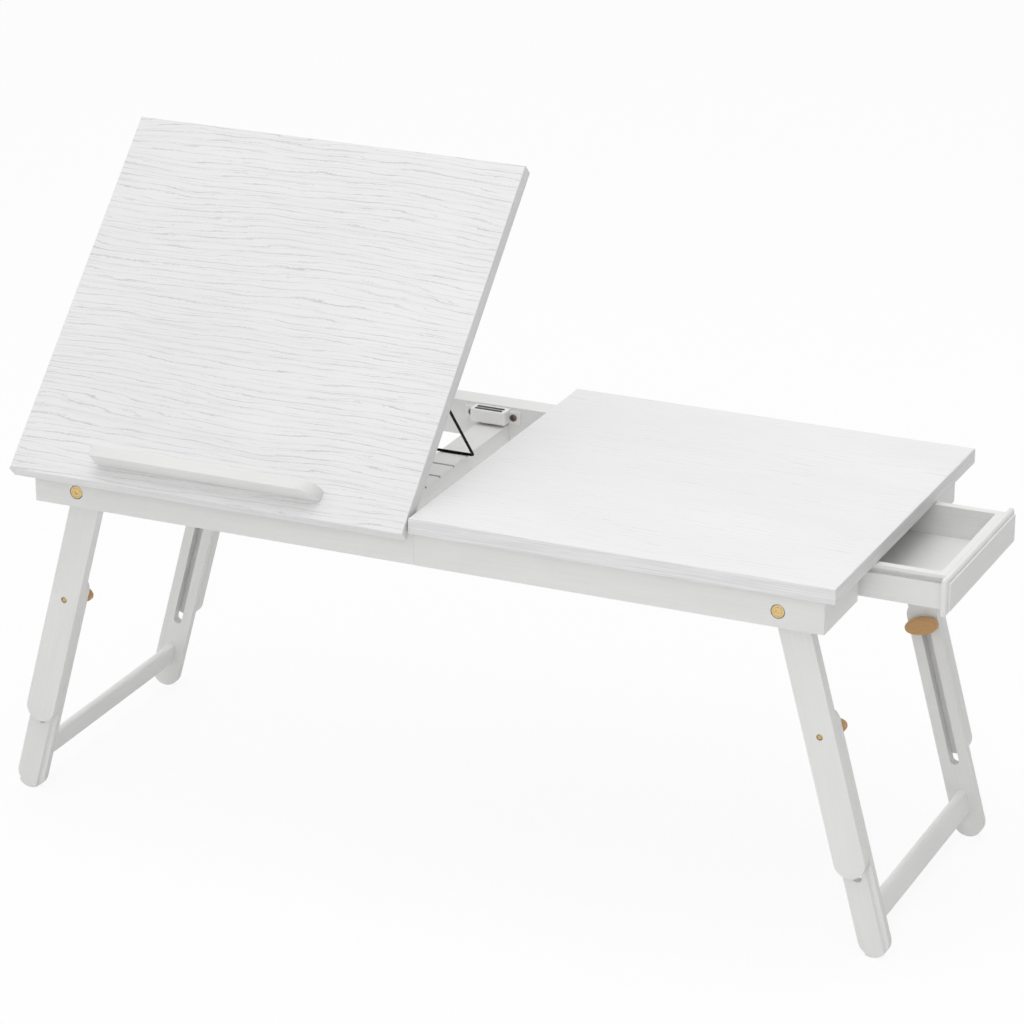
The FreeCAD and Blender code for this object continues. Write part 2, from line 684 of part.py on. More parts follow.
def hinge_leaf(name, centre, knuckle_start, knuckle_count, low, high, tip):
    """Leaf with its share of the barrel, about the hinge axis."""
    body = new_body(name)
    plate = new_sketch(body, "YZ_Plane")
    rectangle(plate, "knuckle_clear", "leaf_width", low, high)
    pad(body, plate, "hinge_length", both_ways=True)
    neck = new_sketch(body, "YZ_Plane", knuckle_start)
    if tip == "0":
        rectangle(neck, "neck_edge", "leaf_width", low, high)
    else:
        polygon(neck, [("-neck_edge", "neck_edge"), ("neck_front", "neck_edge"), ("neck_front", low),
                       ("leaf_width", low), ("leaf_width", high), ("-neck_edge", high)])
    neck_pad = pad(body, neck, "knuckle_length")
    barrel = new_sketch(body, "YZ_Plane", knuckle_start)
    circle(barrel, "0", "0", "knuckle_radius")
    barrel_pad = pad(body, barrel, "knuckle_length")
    if size(knuckle_count) > 1:
        repeat(body, [neck_pad, barrel_pad], "X_Axis", "knuckle_pattern_pitch", knuckle_count)
    bore = new_sketch(body, "YZ_Plane")
    circle(bore, "0", "0", "pin_bore_radius")
    pocket(body, bore, both_ways=True)
    place(body, across=centre, along="-hinge_axis_y", height="-hinge_drop", tip=tip)


def hinge_pin(name, centre):
    body = new_body(name)
    section = new_sketch(body, "YZ_Plane")
    circle(section, "0", "0", "pin_radius")
    pad(body, section, "hinge_length", both_ways=True)
    place(body, across=centre, along="-hinge_axis_y", height="-hinge_drop")


def hinges():
    for place_name, centre in (("right", "-hinge_near_x"), ("left", "-hinge_far_x")):
        hinge_leaf(f"hinge_{place_name}_frame_leaf", centre, "frame_knuckle_start", "frame_knuckle_count",
                   "frame_leaf_under", "rail_top_rise", "0")
        hinge_leaf(f"hinge_{place_name}_board_leaf", centre, "board_knuckle_start", "board_knuckle_count",
                   "tilt_under", "board_leaf_top", "tilt_angle")
        hinge_pin(f"hinge_{place_name}_pin", centre)


# Prop and its brackets

def prop_wire():
    """Wire bent in one plane: stubs turned out at the pivots, legs drawing together, flat foot."""
    body = new_body("prop_wire")
    path = new_sketch(body, "XY_Plane")
    half = [("wire_stub_x", "0"), ("wire_bend_out_x", "0"), ("wire_bend_in_x", "wire_bend_y"),
            ("wire_turn_out_x", "wire_turn_y"), ("wire_turn_in_x", "prop_length")]
    corners = [("-" + across, up) for across, up in half] + half[::-1]
    points = [Vector(coordinate(across), coordinate(up), 0) for across, up in corners]
    last = len(points) - 2
    for index in range(last + 1):
        path.addGeometry(Part.LineSegment(points[index], points[index + 1]))
        fix_point(path, index, 1, *corners[index])
    for index in range(last):
        path.addConstraint(Constraint("Coincident", index, 2, index + 1, 1))
    fix_point(path, last, 2, *corners[-1])
    section = new_sketch(body, "YZ_Plane", "-wire_stub_x")
    circle(section, "0", "0", "wire_radius")
    doc.recompute()
    pipe = body.newObject("PartDesign::AdditivePipe", "prop_wire_pipe")
    pipe.Profile = section
    pipe.Spine = (path, [])
    pipe.Transition = "Right corner"
    place(body, across="beam_centre_x", along="prop_pivot_y", height="prop_pivot_z", tip="-prop_angle")


def prop_bracket(name, side):
    """Saddle under the tilting board with a bore that the prop's stub turns in."""
    body = new_body(name)
    start = "bracket_near" if side == "" else "bracket_far_start"
    block = new_sketch(body, "YZ_Plane", start)
    polygon(block, [("-bracket_round", "0"), ("bracket_round", "0"), ("bracket_half", "prop_pivot_drop"),
                    ("-bracket_half", "prop_pivot_drop")])
    pad(body, block, "bracket_width")
    lobe = new_sketch(body, "YZ_Plane", start)
    circle(lobe, "0", "0", "bracket_round")
    pad(body, lobe, "bracket_width")
    bore = new_sketch(body, "YZ_Plane", start)
    circle(bore, "0", "0", "wire_bore_radius")
    pocket(body, bore, "bracket_width", backwards=True)
    body.setExpression(
        "Placement",
        "placement(vector(Sizes.table_x + Sizes.beam_centre_x; Sizes.table_y + Sizes.prop_pivot_y; "
        "Sizes.table_z + Sizes.prop_pivot_z); rotation(vector(1;0;0); Sizes.tilt_angle))")


def strike_plate():
    body = new_body("strike_plate")
    plan = new_sketch(body, "XY_Plane", "strike_under")
    rectangle(plan, "-strike_half_length", "strike_half_length", "strike_front", "strike_back")
    pad(body, plan, "strike_thickness")
    place(body, across="catch_centre_x", along="-hinge_axis_y", height="-hinge_drop", tip="tilt_angle")


# Magnetic catch

def catch_body():
    body = new_body("catch_body")
    case = new_sketch(body, "XZ_Plane", "-catch_body_y")
    rectangle(case, "-catch_half", "catch_half", "catch_body_under_z", "catch_body_top_z")
    pad(body, case, "catch_body_depth", backwards=True)
    soften(body, "catch_edge_round", lambda edge: near(edge.BoundBox.YMin, size("catch_body_y"))
           and near(edge.BoundBox.YMax, size("catch_body_y")))
    flange = new_sketch(body, "XZ_Plane", "-catch_flange_y")
    rectangle(flange, "-catch_flange_half", "catch_flange_half", "catch_flange_under_z", "catch_flange_top_z")
    pad(body, flange, "catch_flange_thickness", backwards=True)
    holes = new_sketch(body, "XZ_Plane", "-inner_y")
    circle(holes, "-catch_screw_half", "catch_screw_z", "small_hole_radius")
    circle(holes, "catch_screw_half", "catch_screw_z", "small_hole_radius")
    pocket(body, holes, "catch_body_depth", backwards=True)
    slots = new_sketch(body, "XY_Plane", "catch_body_top_z")
    for front, back in (("plate_front_low", "plate_front_high"), ("plate_back_low", "plate_back_high")):
        rectangle(slots, "-catch_slot_half", "catch_slot_half", front, back)
    pocket(body, slots, "catch_slot_depth")
    place(body, across="catch_centre_x")


def catch_plate(name, middle):
    body = new_body(name)
    plan = new_sketch(body, "XZ_Plane", "-" + middle)
    rectangle(plan, "-catch_plate_half", "catch_plate_half", "catch_plate_under_z", "catch_plate_top_z")
    pad(body, plan, "catch_plate_thickness", both_ways=True)
    place(body, across="catch_centre_x")
    return body


def turned_pin(name, profile, **where):
    """Round part turned about Y from a half profile given as (radius, distance) names."""
    body = new_body(name)
    sketch = new_sketch(body, "XY_Plane")
    polygon(sketch, profile)
    revolve(body, sketch)
    place(body, **where)
    return body


def catch_screw(name, across):
    return turned_pin(name, [("0", "-small_head_height"), ("small_head_radius", "-small_head_height"),
                             ("small_head_radius", "0"), ("small_screw_radius", "0"),
                             ("small_screw_radius", "small_screw_length"), ("0", "small_screw_length")],
                      across=across, along="catch_flange_y", height="catch_screw_z")


def group_alike(name, members):
    """One sub-part made of several separate, equal pieces."""
    group = doc.addObject("Part::Compound", name)
    group.Label = name
    group.Links = members


def catch():
    catch_body()
    group_alike("catch_plates", [catch_plate("catch_plate_front", "catch_plate_front_y"),
                                 catch_plate("catch_plate_back", "catch_plate_back_y")])
    group_alike("catch_screws", [catch_screw("catch_screw_left", "-catch_screw_far_x"),
                                 catch_screw("catch_screw_right", "-catch_screw_near_x")])


# Legs

LEG_PLACES = {
    "front_left": ("-pivot_x", "-leg_outer_y", "0", "leg_splay"),
    "front_right": ("pivot_x", "-leg_outer_y", "0", "-leg_splay"),
    "back_right": ("pivot_x", "leg_outer_y", "180", "leg_splay"),
    "back_left": ("-pivot_x", "leg_outer_y", "180", "-leg_splay"),
}


def upper_leg(corner, across, along, turn, lean):
    """Flat bar with half-round ends and a sloping-sided channel along its inner face."""
    body = new_body(f"upper_leg_{corner}")
    outline = new_sketch(body, "XZ_Plane")
    obround(outline, "0", "-upper_leg_reach", "leg_radius")
    pad(body, outline, "upper_leg_thickness", backwards=True)
    channel = new_sketch(body, "XY_Plane", "leg_end_past_pivot")
    polygon(channel, [("-channel_mouth_half", "upper_leg_thickness"),
                      ("-channel_floor_half", "channel_floor_y"),
                      ("channel_floor_half", "channel_floor_y"),
                      ("channel_mouth_half", "upper_leg_thickness")])
    pocket(body, channel)
    pivot = new_sketch(body, "XZ_Plane")
    circle(pivot, "0", "0", "pivot_leg_bore_radius")
    pocket(body, pivot)
    hole = new_sketch(body, "XZ_Plane")
    circle(hole, "0", "-clamp_reach", "bolt_hole_radius")
    pocket(body, hole)
    seat = new_sketch(body, "XZ_Plane", "-insert_seat")
    hexagon(seat, "seat_corner", "seat_side", "-clamp_reach", "-seat_near_reach", "-seat_far_reach")
    pocket(body, seat)
    place(body, across, along, "-pivot_drop", turn, lean)


def lower_leg(corner, across, along, turn, lean):
    """Flat bar with half-round ends, stepped down both sides of a tongue, with a slot and a bar socket."""
    body = new_body(f"lower_leg_{corner}")
    outline = new_sketch(body, "XZ_Plane", "-tongue_tip_y")
    obround(outline, "-lower_leg_top", "-lower_leg_reach", "leg_radius")
    pad(body, outline, "lower_leg_depth", backwards=True)
    steps = new_sketch(body, "XY_Plane")
    for side in ("-", ""):
        polygon(steps, [(side + "tongue_tip_half", "tongue_tip_y"), (side + "leg_width", "tongue_tip_y"),
                        (side + "leg_width", "lower_leg_y"), (side + "tongue_half", "lower_leg_y")])
    pocket(body, steps)
    slot = new_sketch(body, "XZ_Plane")
    obround(slot, "-clamp_reach", "-slot_end", "slot_radius")
    pocket(body, slot)
    socket = new_sketch(body, "XZ_Plane", "-bar_socket_y")
    circle(socket, "0", "-bar_reach", "bar_socket_radius")
    pocket(body, socket)
    place(body, across, along, "-pivot_drop", turn, lean)


def cross_bar(name, across, lean):
    """Flat bar with rounded edges between two lower legs, with a round tenon at each end."""
    body = new_body(name)
    section = new_sketch(body, "XZ_Plane")
    rectangle(section, "-bar_half_thickness", "bar_half_thickness", "-bar_far_reach", "-bar_near_reach")
    pad(body, section, "bar_length", both_ways=True)
    soften(body, "bar_edge_round", lambda edge: edge.Length > size("bar_half"))
    tenon = new_sketch(body, "XZ_Plane")
    circle(tenon, "0", "-bar_reach", "bar_tenon_radius")
    pad(body, tenon, "bar_tenon_span", both_ways=True)
    place(body, across, "0", "-pivot_drop", "0", lean)


def pivot_screw(corner, across, along, turn, lean):
    """Broad-capped screw with a six-sided socket, whose plain shank is the leg's pivot."""
    rail_face = along.replace("leg_outer_y", "frame_y")
    body = turned_pin(f"pivot_screw_{corner}",
                      [("0", "cap_top"), ("cap_radius", "cap_top"), ("cap_radius", "cap_under"),
                       ("pivot_shank_radius", "cap_under"), ("pivot_shank_radius", "pivot_screw_end"),
                       ("0", "pivot_screw_end")],
                      across=across, along=rail_face, height="-pivot_drop", turn=turn)
    socket = new_sketch(body, "XZ_Plane", "-cap_top")
    hexagon(socket, "socket_corner", "socket_side", "0", "socket_flat", "-socket_flat")
    pocket(body, socket, "cap_socket_depth")
    return body


def at_clamp(body, across, along, turn, lean):
    """Move a part drawn about its own axis to the clamp's place down the leg."""
    turned = "" if turn == "0" else "rotation(vector(0;0;1); 180) * "
    spot = (f"placement(vector(Sizes.table_x + {bound(across)}; Sizes.table_y + {bound(along)}; "
            f"Sizes.table_z - Sizes.pivot_drop); {turned}rotation(vector(0;1;0); {bound(lean)}))")
    down = "placement(vector(0; 0; -Sizes.clamp_reach); rotation(vector(0;0;1); 0))"
    body.setExpression("Placement", f"{spot} * {down}")


def clamp_insert(corner, *where):
    """Six-sided brass nut let into the upper leg, which the clamp bolt screws through."""
    body = new_body(f"clamp_insert_{corner}")
    outline = new_sketch(body, "XZ_Plane", "-insert_seat")
    hexagon(outline, "insert_corner", "insert_side", "0", "insert_flat", "-insert_flat")
    pad(body, outline, "insert_length", backwards=True)
    bore = new_sketch(body, "XZ_Plane")
    circle(bore, "0", "0", "insert_bore_radius")
    pocket(body, bore)
    at_clamp(body, *where)
    return body


def clamp_bolt(corner, *where):
    body = turned_pin(f"clamp_bolt_{corner}",
                      [("0", "bolt_sink"), ("bolt_radius", "bolt_sink"), ("bolt_radius", "bolt_end"),
                       ("0", "bolt_end")])
    at_clamp(body, *where)


def four_centre_oval(sketch):
    """Oval of two tight end arcs and two flat side arcs, all tangent, long axis across."""
    end_centre = size("knob_end_centre")
    end_radius = size("knob_end_radius")
    side_drop = size("knob_side_drop")
    side_radius = size("knob_side_radius")
    spread = math.atan2(side_drop, end_centre)
    up_axis = Vector(0, 0, 1)
    arcs = [(Vector(end_centre, 0, 0), end_radius, -spread, spread),
            (Vector(0, -side_drop, 0), side_radius, spread, math.pi - spread),
            (Vector(-end_centre, 0, 0), end_radius, math.pi - spread, math.pi + spread),
            (Vector(0, side_drop, 0), side_radius, math.pi + spread, 2 * math.pi - spread)]
    for centre, radius, start, stop in arcs:
        sketch.addGeometry(Part.ArcOfCircle(Part.Circle(centre, up_axis, radius), start, stop))
    for index in range(4):
        sketch.addConstraint(Constraint("Tangent", index, 2, (index + 1) % 4, 1))
    for index, centre in ((0, "knob_end_centre"), (2, "-knob_end_centre")):
        fix_point(sketch, index, 3, centre, "0")
        fix_value(sketch, Constraint("Radius", index, end_radius), "knob_end_radius")
    for index, drop in ((1, "-knob_side_drop"), (3, "knob_side_drop")):
        fix_value(sketch, Constraint("DistanceY", -1, 1, index, 3, size(drop)), drop)


def clamp_knob(corner, *where):
    """Oval hand knob on a round boss, bored for its bolt."""
    body = new_body(f"clamp_knob_{corner}")
    oval = new_sketch(body, "XZ_Plane", "-knob_back")
    four_centre_oval(oval)
    pad(body, oval, "knob_thickness", backwards=True)
    boss = new_sketch(body, "XZ_Plane", "-knob_foot")
    circle(boss, "0", "0", "knob_boss_radius")
    pad(body, boss, "knob_boss_height", backwards=True)
    bore = new_sketch(body, "XZ_Plane", "-knob_foot")
    circle(bore, "0", "0", "insert_bore_radius")
    pocket(body, bore, "knob_bore_depth")
    at_clamp(body, *where)


def legs():
    screws = []
    inserts = {"left": [], "right": []}
    for corner, where in LEG_PLACES.items():
        upper_leg(corner, *where)
        lower_leg(corner, *where)
        screws.append(pivot_screw(corner, *where))
        inserts[corner.split("_")[1]].append(clamp_insert(corner, *where))
        clamp_bolt(corner, *where)
        clamp_knob(corner, *where)
    group_alike("pivot_screws", screws)
    group_alike("clamp_inserts_left", inserts["left"])
    group_alike("clamp_inserts_right", inserts["right"])
    cross_bar("cross_bar_left", "-pivot_x", "leg_splay")
    cross_bar("cross_bar_right", "pivot_x", "-leg_splay")


# Drawer

def drawer_front():
    """Front panel with rounded edges and a low raised field."""
    body = new_body("drawer_front")
    panel = new_sketch(body, "YZ_Plane", "drawer_front_x")
    rectangle(panel, "-front_half", "front_half", "front_under_z", "drawer_top_z")
    pad(body, panel, "front_thickness")
    face = size("drawer_front_x") + size("front_thickness")
    soften(body, "front_edge_round", lambda edge: near(edge.BoundBox.XMin, face) and near(edge.BoundBox.XMax, face))
    field = new_sketch(body, "YZ_Plane", "drawer_front_x")
    rectangle(field, "-field_half", "field_half", "field_under_z", "field_top_z")
    pad(body, field, "front_total")
    place(body)


def drawer_side(name, side):
    """Side board with a groove for the runner outside and a rebate for the floor inside."""
    body = new_body(name)
    section = new_sketch(body, "YZ_Plane", "drawer_back_x")
    outer = side + "drawer_half"
    inner = side + "drawer_inner_half"
    groove = side + "runner_groove_floor"
    rebate = side + "drawer_rebate_half"
    polygon(section, [(outer, "drawer_top_z"), (outer, "runner_groove_top_z"), (groove, "runner_groove_top_z"),
                      (groove, "runner_groove_under_z"), (outer, "runner_groove_under_z"),
                      (outer, "drawer_under_z"), (rebate, "drawer_under_z"), (rebate, "drawer_floor_z"),
                      (inner, "drawer_floor_z"), (inner, "drawer_top_z")])
    pad(body, section, "drawer_length")
    place(body)


def drawer_wall(name, start, rebated):
    """Cross wall of the drawer box between its sides."""
    body = new_body(name)
    plan = new_sketch(body, "YZ_Plane", start)
    rectangle(plan, "-drawer_inner_half", "drawer_inner_half", "drawer_floor_z", "drawer_top_z")
    pad(body, plan, "drawer_wall_thickness")
    if rebated:
        lip = new_sketch(body, "YZ_Plane", "drawer_rebate_x")
        rectangle(lip, "-drawer_inner_half", "drawer_inner_half", "drawer_under_z", "drawer_top_z")
        pad(body, lip, "drawer_lip_thickness")
    place(body)


def drawer_floor():
    body = new_body("drawer_floor")
    plan = new_sketch(body, "XY_Plane", "drawer_under_z")
    rectangle(plan, "drawer_back_x", "drawer_floor_end_x", "-drawer_floor_half", "drawer_floor_half")
    pad(body, plan, "drawer_floor_thickness")
    place(body)


def drawer_runner(name, side):
    """Strip under the fixed board whose tongue carries the drawer by its side groove."""
    body = new_body(name)
    section = new_sketch(body, "YZ_Plane", "centre_rail_right")
    outer = side + "opening_half"
    inner = side + "runner_inner"
    tip = side + "runner_tip"
    polygon(section, [(outer, "board_under_z"), (outer, "runner_under_z"), (inner, "runner_under_z"),
                      (inner, "runner_tongue_under_z"), (tip, "runner_tongue_under_z"),
                      (tip, "runner_tongue_top_z"), (inner, "runner_tongue_top_z"), (inner, "board_under_z")])
    pad(body, section, "runner_length")
    place(body)


def drawer():
    drawer_front()
    drawer_side("drawer_side_front", "-")
    drawer_side("drawer_side_back", "")
    drawer_wall("drawer_inner_front", "drawer_wall_x", True)
    drawer_wall("drawer_back", "drawer_back_x", False)
    drawer_floor()
    drawer_runner("drawer_runner_front", "-")
    drawer_runner("drawer_runner_back", "")


fill_sheet()
fixed_top()
tilting_top()
book_stop()
rails()
prop_beam()
hinges()
prop_wire()
prop_bracket("prop_bracket_right", "")
prop_bracket("prop_bracket_left", "-")
strike_plate()
catch()
legs()
drawer()
doc.recompute()

for item in doc.Objects:
    if "Invalid" in item.State or "Error" in item.State:
        raise RuntimeError(f"{item.Name} did not build: {item.State}")

groups = doc.findObjects("Part::Compound")
grouped = [member for group in groups for member in group.Links]
single_bodies = [body for body in doc.findObjects("PartDesign::Body") if body not in grouped]
for sub_part in single_bodies + groups:
    if not sub_part.Shape.isValid() or not sub_part.Shape.Solids:
        raise RuntimeError(f"{sub_part.Label} has no valid solid")
    sub_part.Shape.exportStep(f"parts/{sub_part.Label}.step")
    print(f"{sub_part.Label}: {len(sub_part.Shape.Solids)} solid, {sub_part.Shape.Volume / 1000:.2f} cm3")
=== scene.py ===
# %% [markdown]
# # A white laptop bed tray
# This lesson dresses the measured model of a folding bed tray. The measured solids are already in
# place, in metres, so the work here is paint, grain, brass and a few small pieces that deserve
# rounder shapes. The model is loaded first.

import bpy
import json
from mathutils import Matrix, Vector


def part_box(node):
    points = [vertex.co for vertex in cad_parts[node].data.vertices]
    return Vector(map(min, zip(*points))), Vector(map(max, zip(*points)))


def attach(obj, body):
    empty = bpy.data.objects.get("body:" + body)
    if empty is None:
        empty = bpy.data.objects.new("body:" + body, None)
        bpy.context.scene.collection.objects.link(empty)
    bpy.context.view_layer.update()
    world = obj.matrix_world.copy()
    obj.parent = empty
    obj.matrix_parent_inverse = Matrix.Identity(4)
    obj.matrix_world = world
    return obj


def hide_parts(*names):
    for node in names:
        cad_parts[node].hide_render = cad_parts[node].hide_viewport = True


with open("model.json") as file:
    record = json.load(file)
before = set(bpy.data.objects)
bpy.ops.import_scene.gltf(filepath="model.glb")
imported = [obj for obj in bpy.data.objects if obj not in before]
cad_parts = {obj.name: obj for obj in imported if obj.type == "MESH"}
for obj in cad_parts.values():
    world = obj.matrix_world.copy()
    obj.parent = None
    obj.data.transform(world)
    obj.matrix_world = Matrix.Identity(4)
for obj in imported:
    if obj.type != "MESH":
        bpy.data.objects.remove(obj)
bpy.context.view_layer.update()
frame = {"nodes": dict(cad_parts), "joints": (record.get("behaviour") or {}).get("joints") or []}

# %% [markdown]
# The other modules come next. `bmesh` builds meshes piece by piece, and `mathutils` has vectors
# and rotations.

# %% Modules
import json
import math

import bmesh
import bpy
from mathutils import Matrix, Vector

scene = bpy.context.scene
nodes = frame["nodes"]
joints = {joint["name"]: joint for joint in frame["joints"]}
print("joints:", ", ".join(sorted(joints)))

# %% [markdown]
# ## Helpers for shader nodes
# A Blender material is a small network. Writing each network out by hand is long, so four helpers
# keep it readable: one adds a node, one does a sum, one maps a range onto another, and one blends
# two colours. `add_node` sets plain values on the sockets, and joins a socket where the value
# given is itself a socket. `_0` and `_1` stand for the first and second socket of a node whose
# sockets share a name.

# %% Node helpers
def add_node(tree, kind, settings=None, **inputs):
    node = tree.nodes.new(kind)
    for name, value in (settings or {}).items():
        setattr(node, name, value)
    for name, value in inputs.items():
        socket = node.inputs[int(name[1:]) if name[1:].isdigit() else name.replace("_", " ")]
        if isinstance(value, bpy.types.NodeSocket):
            tree.links.new(value, socket)
        else:
            socket.default_value = value
    return node


def arithmetic(tree, operation, first, second=0.0, third=0.0):
    node = add_node(tree, "ShaderNodeMath", {"operation": operation}, _0=first, _1=second, _2=third)
    return node.outputs[0]


def remap(tree, value, low, high, new_low, new_high):
    node = add_node(tree, "ShaderNodeMapRange", {"clamp": True}, Value=value)
    node.inputs["From Min"].default_value = low
    node.inputs["From Max"].default_value = high
    node.inputs["To Min"].default_value = new_low
    node.inputs["To Max"].default_value = new_high
    return node.outputs["Result"]


def blend_colours(tree, factor, first, second):
    node = add_node(tree, "ShaderNodeMix", {"data_type": "RGBA"})
    tree.links.new(factor, node.inputs["Factor"])
    for index, colour in ((6, first), (7, second)):
        if isinstance(colour, bpy.types.NodeSocket):
            tree.links.new(colour, node.inputs[index])
        else:
            node.inputs[index].default_value = (*colour, 1)
    return node.outputs[2]


print("node helpers ready")

# %% [markdown]
# ## Grain that follows the piece
# Paint on wood shows the grain below it, and grain runs along the length of a piece. Object
# coordinates don't slide when a piece moves, so they are the base. `along_grain` turns them and
# counts in millimetres: the first axis is across the grain, the second along it, and the third is
# square to both. A rail along the table, one across it and a slanting leg then use the same paint
# with another turn. `stretched_noise` makes noise whose cells are long in one direction, which is
# what grain looks like.

# %% Coordinates along the grain
def along_grain(tree, direction, face):
    """Object coordinates in millimetres, as (across, along, out of the face)."""
    along = Vector(direction).normalized()
    outward = Vector(face).normalized()
    across = outward.cross(along).normalized()
    point = add_node(tree, "ShaderNodeTexCoord").outputs["Object"]
    parts = []
    for axis in (across, along, outward):
        dot = add_node(tree, "ShaderNodeVectorMath", {"operation": "DOT_PRODUCT"}, _0=point)
        dot.inputs[1].default_value = axis * 1000
        parts.append(dot.outputs["Value"])
    return parts


def stretched_noise(tree, parts, sizes, detail=3.0, roughness=0.55, shift=0.0):
    """Noise whose cells are the given millimetres across, along and out of the face."""
    scaled = [arithmetic(tree, "MULTIPLY_ADD", part, 1 / size, shift)
              for part, size in zip(parts, sizes)]
    place = add_node(tree, "ShaderNodeCombineXYZ", None, X=scaled[0], Y=scaled[1], Z=scaled[2])
    noise = add_node(tree, "ShaderNodeTexNoise", None, Vector=place.outputs[0], Scale=1.0,
                     Detail=detail, Roughness=roughness)
    return noise.outputs["Factor" if "Factor" in noise.outputs else "Fac"]


print("grain helpers ready")

# %% [markdown]
# ## Lines of oak
# The two boards of the top are faced with a white film that copies oak: long, wavy, slightly
# raised lines, a few millimetres apart. A wave texture looks too even, so the lines are drawn
# from a sine of the distance across the grain, after three noises have pushed that distance
# about: a slow one bends the lines, a middle one pinches them into pairs, and a small one makes
# them tremble. A further noise breaks them into strokes of different strength. Bold lines and
# fine ones between them use the same recipe.

# %% Oak lines
# A push: the cells of its noise and how far it pushes, in millimetres, and a shift of the noise.
slow_bend = ((80, 240, 400), 34, 0.0)
pinch = ((6, 50, 400), 6.4, 7.3)
tremble = ((1.5, 3.4, 400), 1.3, 14.1)
# A family of lines: its pitch as a share of the spacing, the height of the sine at which a line
# starts, the cells and the shift of its strokes, and its depth.
bold_lines = (1.0, 0.92, (5, 40, 400), 3.1, 0.9)
fine_lines = (0.57, 0.93, (4, 26, 400), 11.7, 0.6)
stroke_change = 0.28


def oak_lines(tree, parts, spacing):
    pushed = parts[0]
    for cells, push, shift in (slow_bend, pinch, tremble):
        wander = stretched_noise(tree, parts, cells, detail=1.5, shift=shift)
        pushed = arithmetic(tree, "MULTIPLY_ADD", wander, push, pushed)
    grain = 0.0
    for pitch_share, threshold, cells, shift, depth in (bold_lines, fine_lines):
        turns = arithmetic(tree, "MULTIPLY", pushed, 2 * math.pi / (spacing * pitch_share))
        crest = arithmetic(tree, "SINE", turns)
        stroke = stretched_noise(tree, parts, cells, detail=2.5, shift=shift)
        uneven = arithmetic(tree, "MULTIPLY_ADD", stroke, stroke_change, -stroke_change / 2)
        lifted = arithmetic(tree, "ADD", crest, uneven)
        line = remap(tree, lifted, threshold, threshold + 0.10, 0, depth)
        grain = arithmetic(tree, "MAXIMUM", grain, line)
    return grain


print("pushes: 3, families of lines: 2")

# %% [markdown]
# ## White painted boards
# The broad faces of a board show the oak lines. The narrow faces show fine layers instead, and
# `Normal` tells the two apart. The same height drives a little colour and the bump, so both
# agree, and a fine peel lies over all of it. In the photograph the lines on the raised board are
# strong, and those on the flat one, seen at a low angle and in brighter light, are faint.

# %% Board paint
line_grey = (0.55, 0.55, 0.555)
line_spacing = 5.4


def board_paint(name, tone, strength, face):
    material = bpy.data.materials.new(name)
    material.use_nodes = True
    tree = material.node_tree
    shader = tree.nodes["Principled BSDF"]
    parts = along_grain(tree, (1, 0, 0), face)
    normal = add_node(tree, "ShaderNodeTexCoord").outputs["Normal"]
    facing = add_node(tree, "ShaderNodeVectorMath", {"operation": "DOT_PRODUCT"}, _0=normal)
    facing.inputs[1].default_value = Vector(face).normalized()
    squareness = arithmetic(tree, "ABSOLUTE", facing.outputs["Value"])
    on_face = remap(tree, squareness, 0.90, 0.97, 0, 1)
    off_face = arithmetic(tree, "SUBTRACT", 1.0, on_face)
    outward_first = (parts[2], parts[1], parts[0])
    layers = stretched_noise(tree, outward_first, (0.55, 60, 60), detail=2.0, shift=5.0)
    layers = arithmetic(tree, "MULTIPLY", remap(tree, layers, 0.44, 0.62, 0, 0.38), off_face)
    depth = arithmetic(tree, "MULTIPLY", oak_lines(tree, parts, line_spacing), strength)
    amount = arithmetic(tree, "MULTIPLY_ADD", depth, on_face, layers)

    cloud = stretched_noise(tree, parts, (60, 170, 60), detail=3.0, shift=2.2)
    shade = tuple(value * 0.97 for value in tone)
    ground = blend_colours(tree, remap(tree, cloud, 0.35, 0.65, 0, 1), tone, shade)
    tree.links.new(blend_colours(tree, amount, ground, line_grey), shader.inputs["Base Color"])
    tree.links.new(remap(tree, amount, 0, 1, 0.36, 0.52), shader.inputs["Roughness"])
    peel = stretched_noise(tree, parts, (1.6, 2.2, 1.6), detail=1.0, shift=31.0)
    peel_height = arithmetic(tree, "MULTIPLY", peel, 0.12)
    height = arithmetic(tree, "MULTIPLY_ADD", amount, -1.0, peel_height)
    bump = add_node(tree, "ShaderNodeBump", None, Strength=0.8, Distance=0.00024, Height=height)
    tree.links.new(bump.outputs[0], shader.inputs["Normal"])
    shader.inputs["Specular IOR Level"].default_value = 0.38
    return material


tilt = math.radians(45)
leaning_face = (0, -math.sin(tilt), math.cos(tilt))
raised_board_paint = board_paint("raised board paint", (0.81, 0.81, 0.81), 0.84, leaning_face)
flat_board_paint = board_paint("flat board paint", (0.82, 0.82, 0.82), 0.34, (0, 0, 1))
print("board paints:", raised_board_paint.name, "and", flat_board_paint.name)

# %% [markdown]
# ## White painted rails and legs
# The frame, the legs and the drawer are solid wood under a smooth coat. Seen close, the coat is
# not perfectly even: the grain shows through as faint long streaks, the sprayed film has a fine
# peel, and the tone drifts by a few hundredths over a hand's width. Each is one stretched noise.
# The streaks are kept faint, because strong grain here would fight the boards. The beam below the
# prop has one more touch: painted shade in its grooves, so a hollow just below the beam's top is
# painted dark grey by its height.

# %% Rail paint
# Painted shade: the beam's grooves are painted this dark grey to stand in for their shadow.
groove_shade_grey = (0.16, 0.155, 0.15)


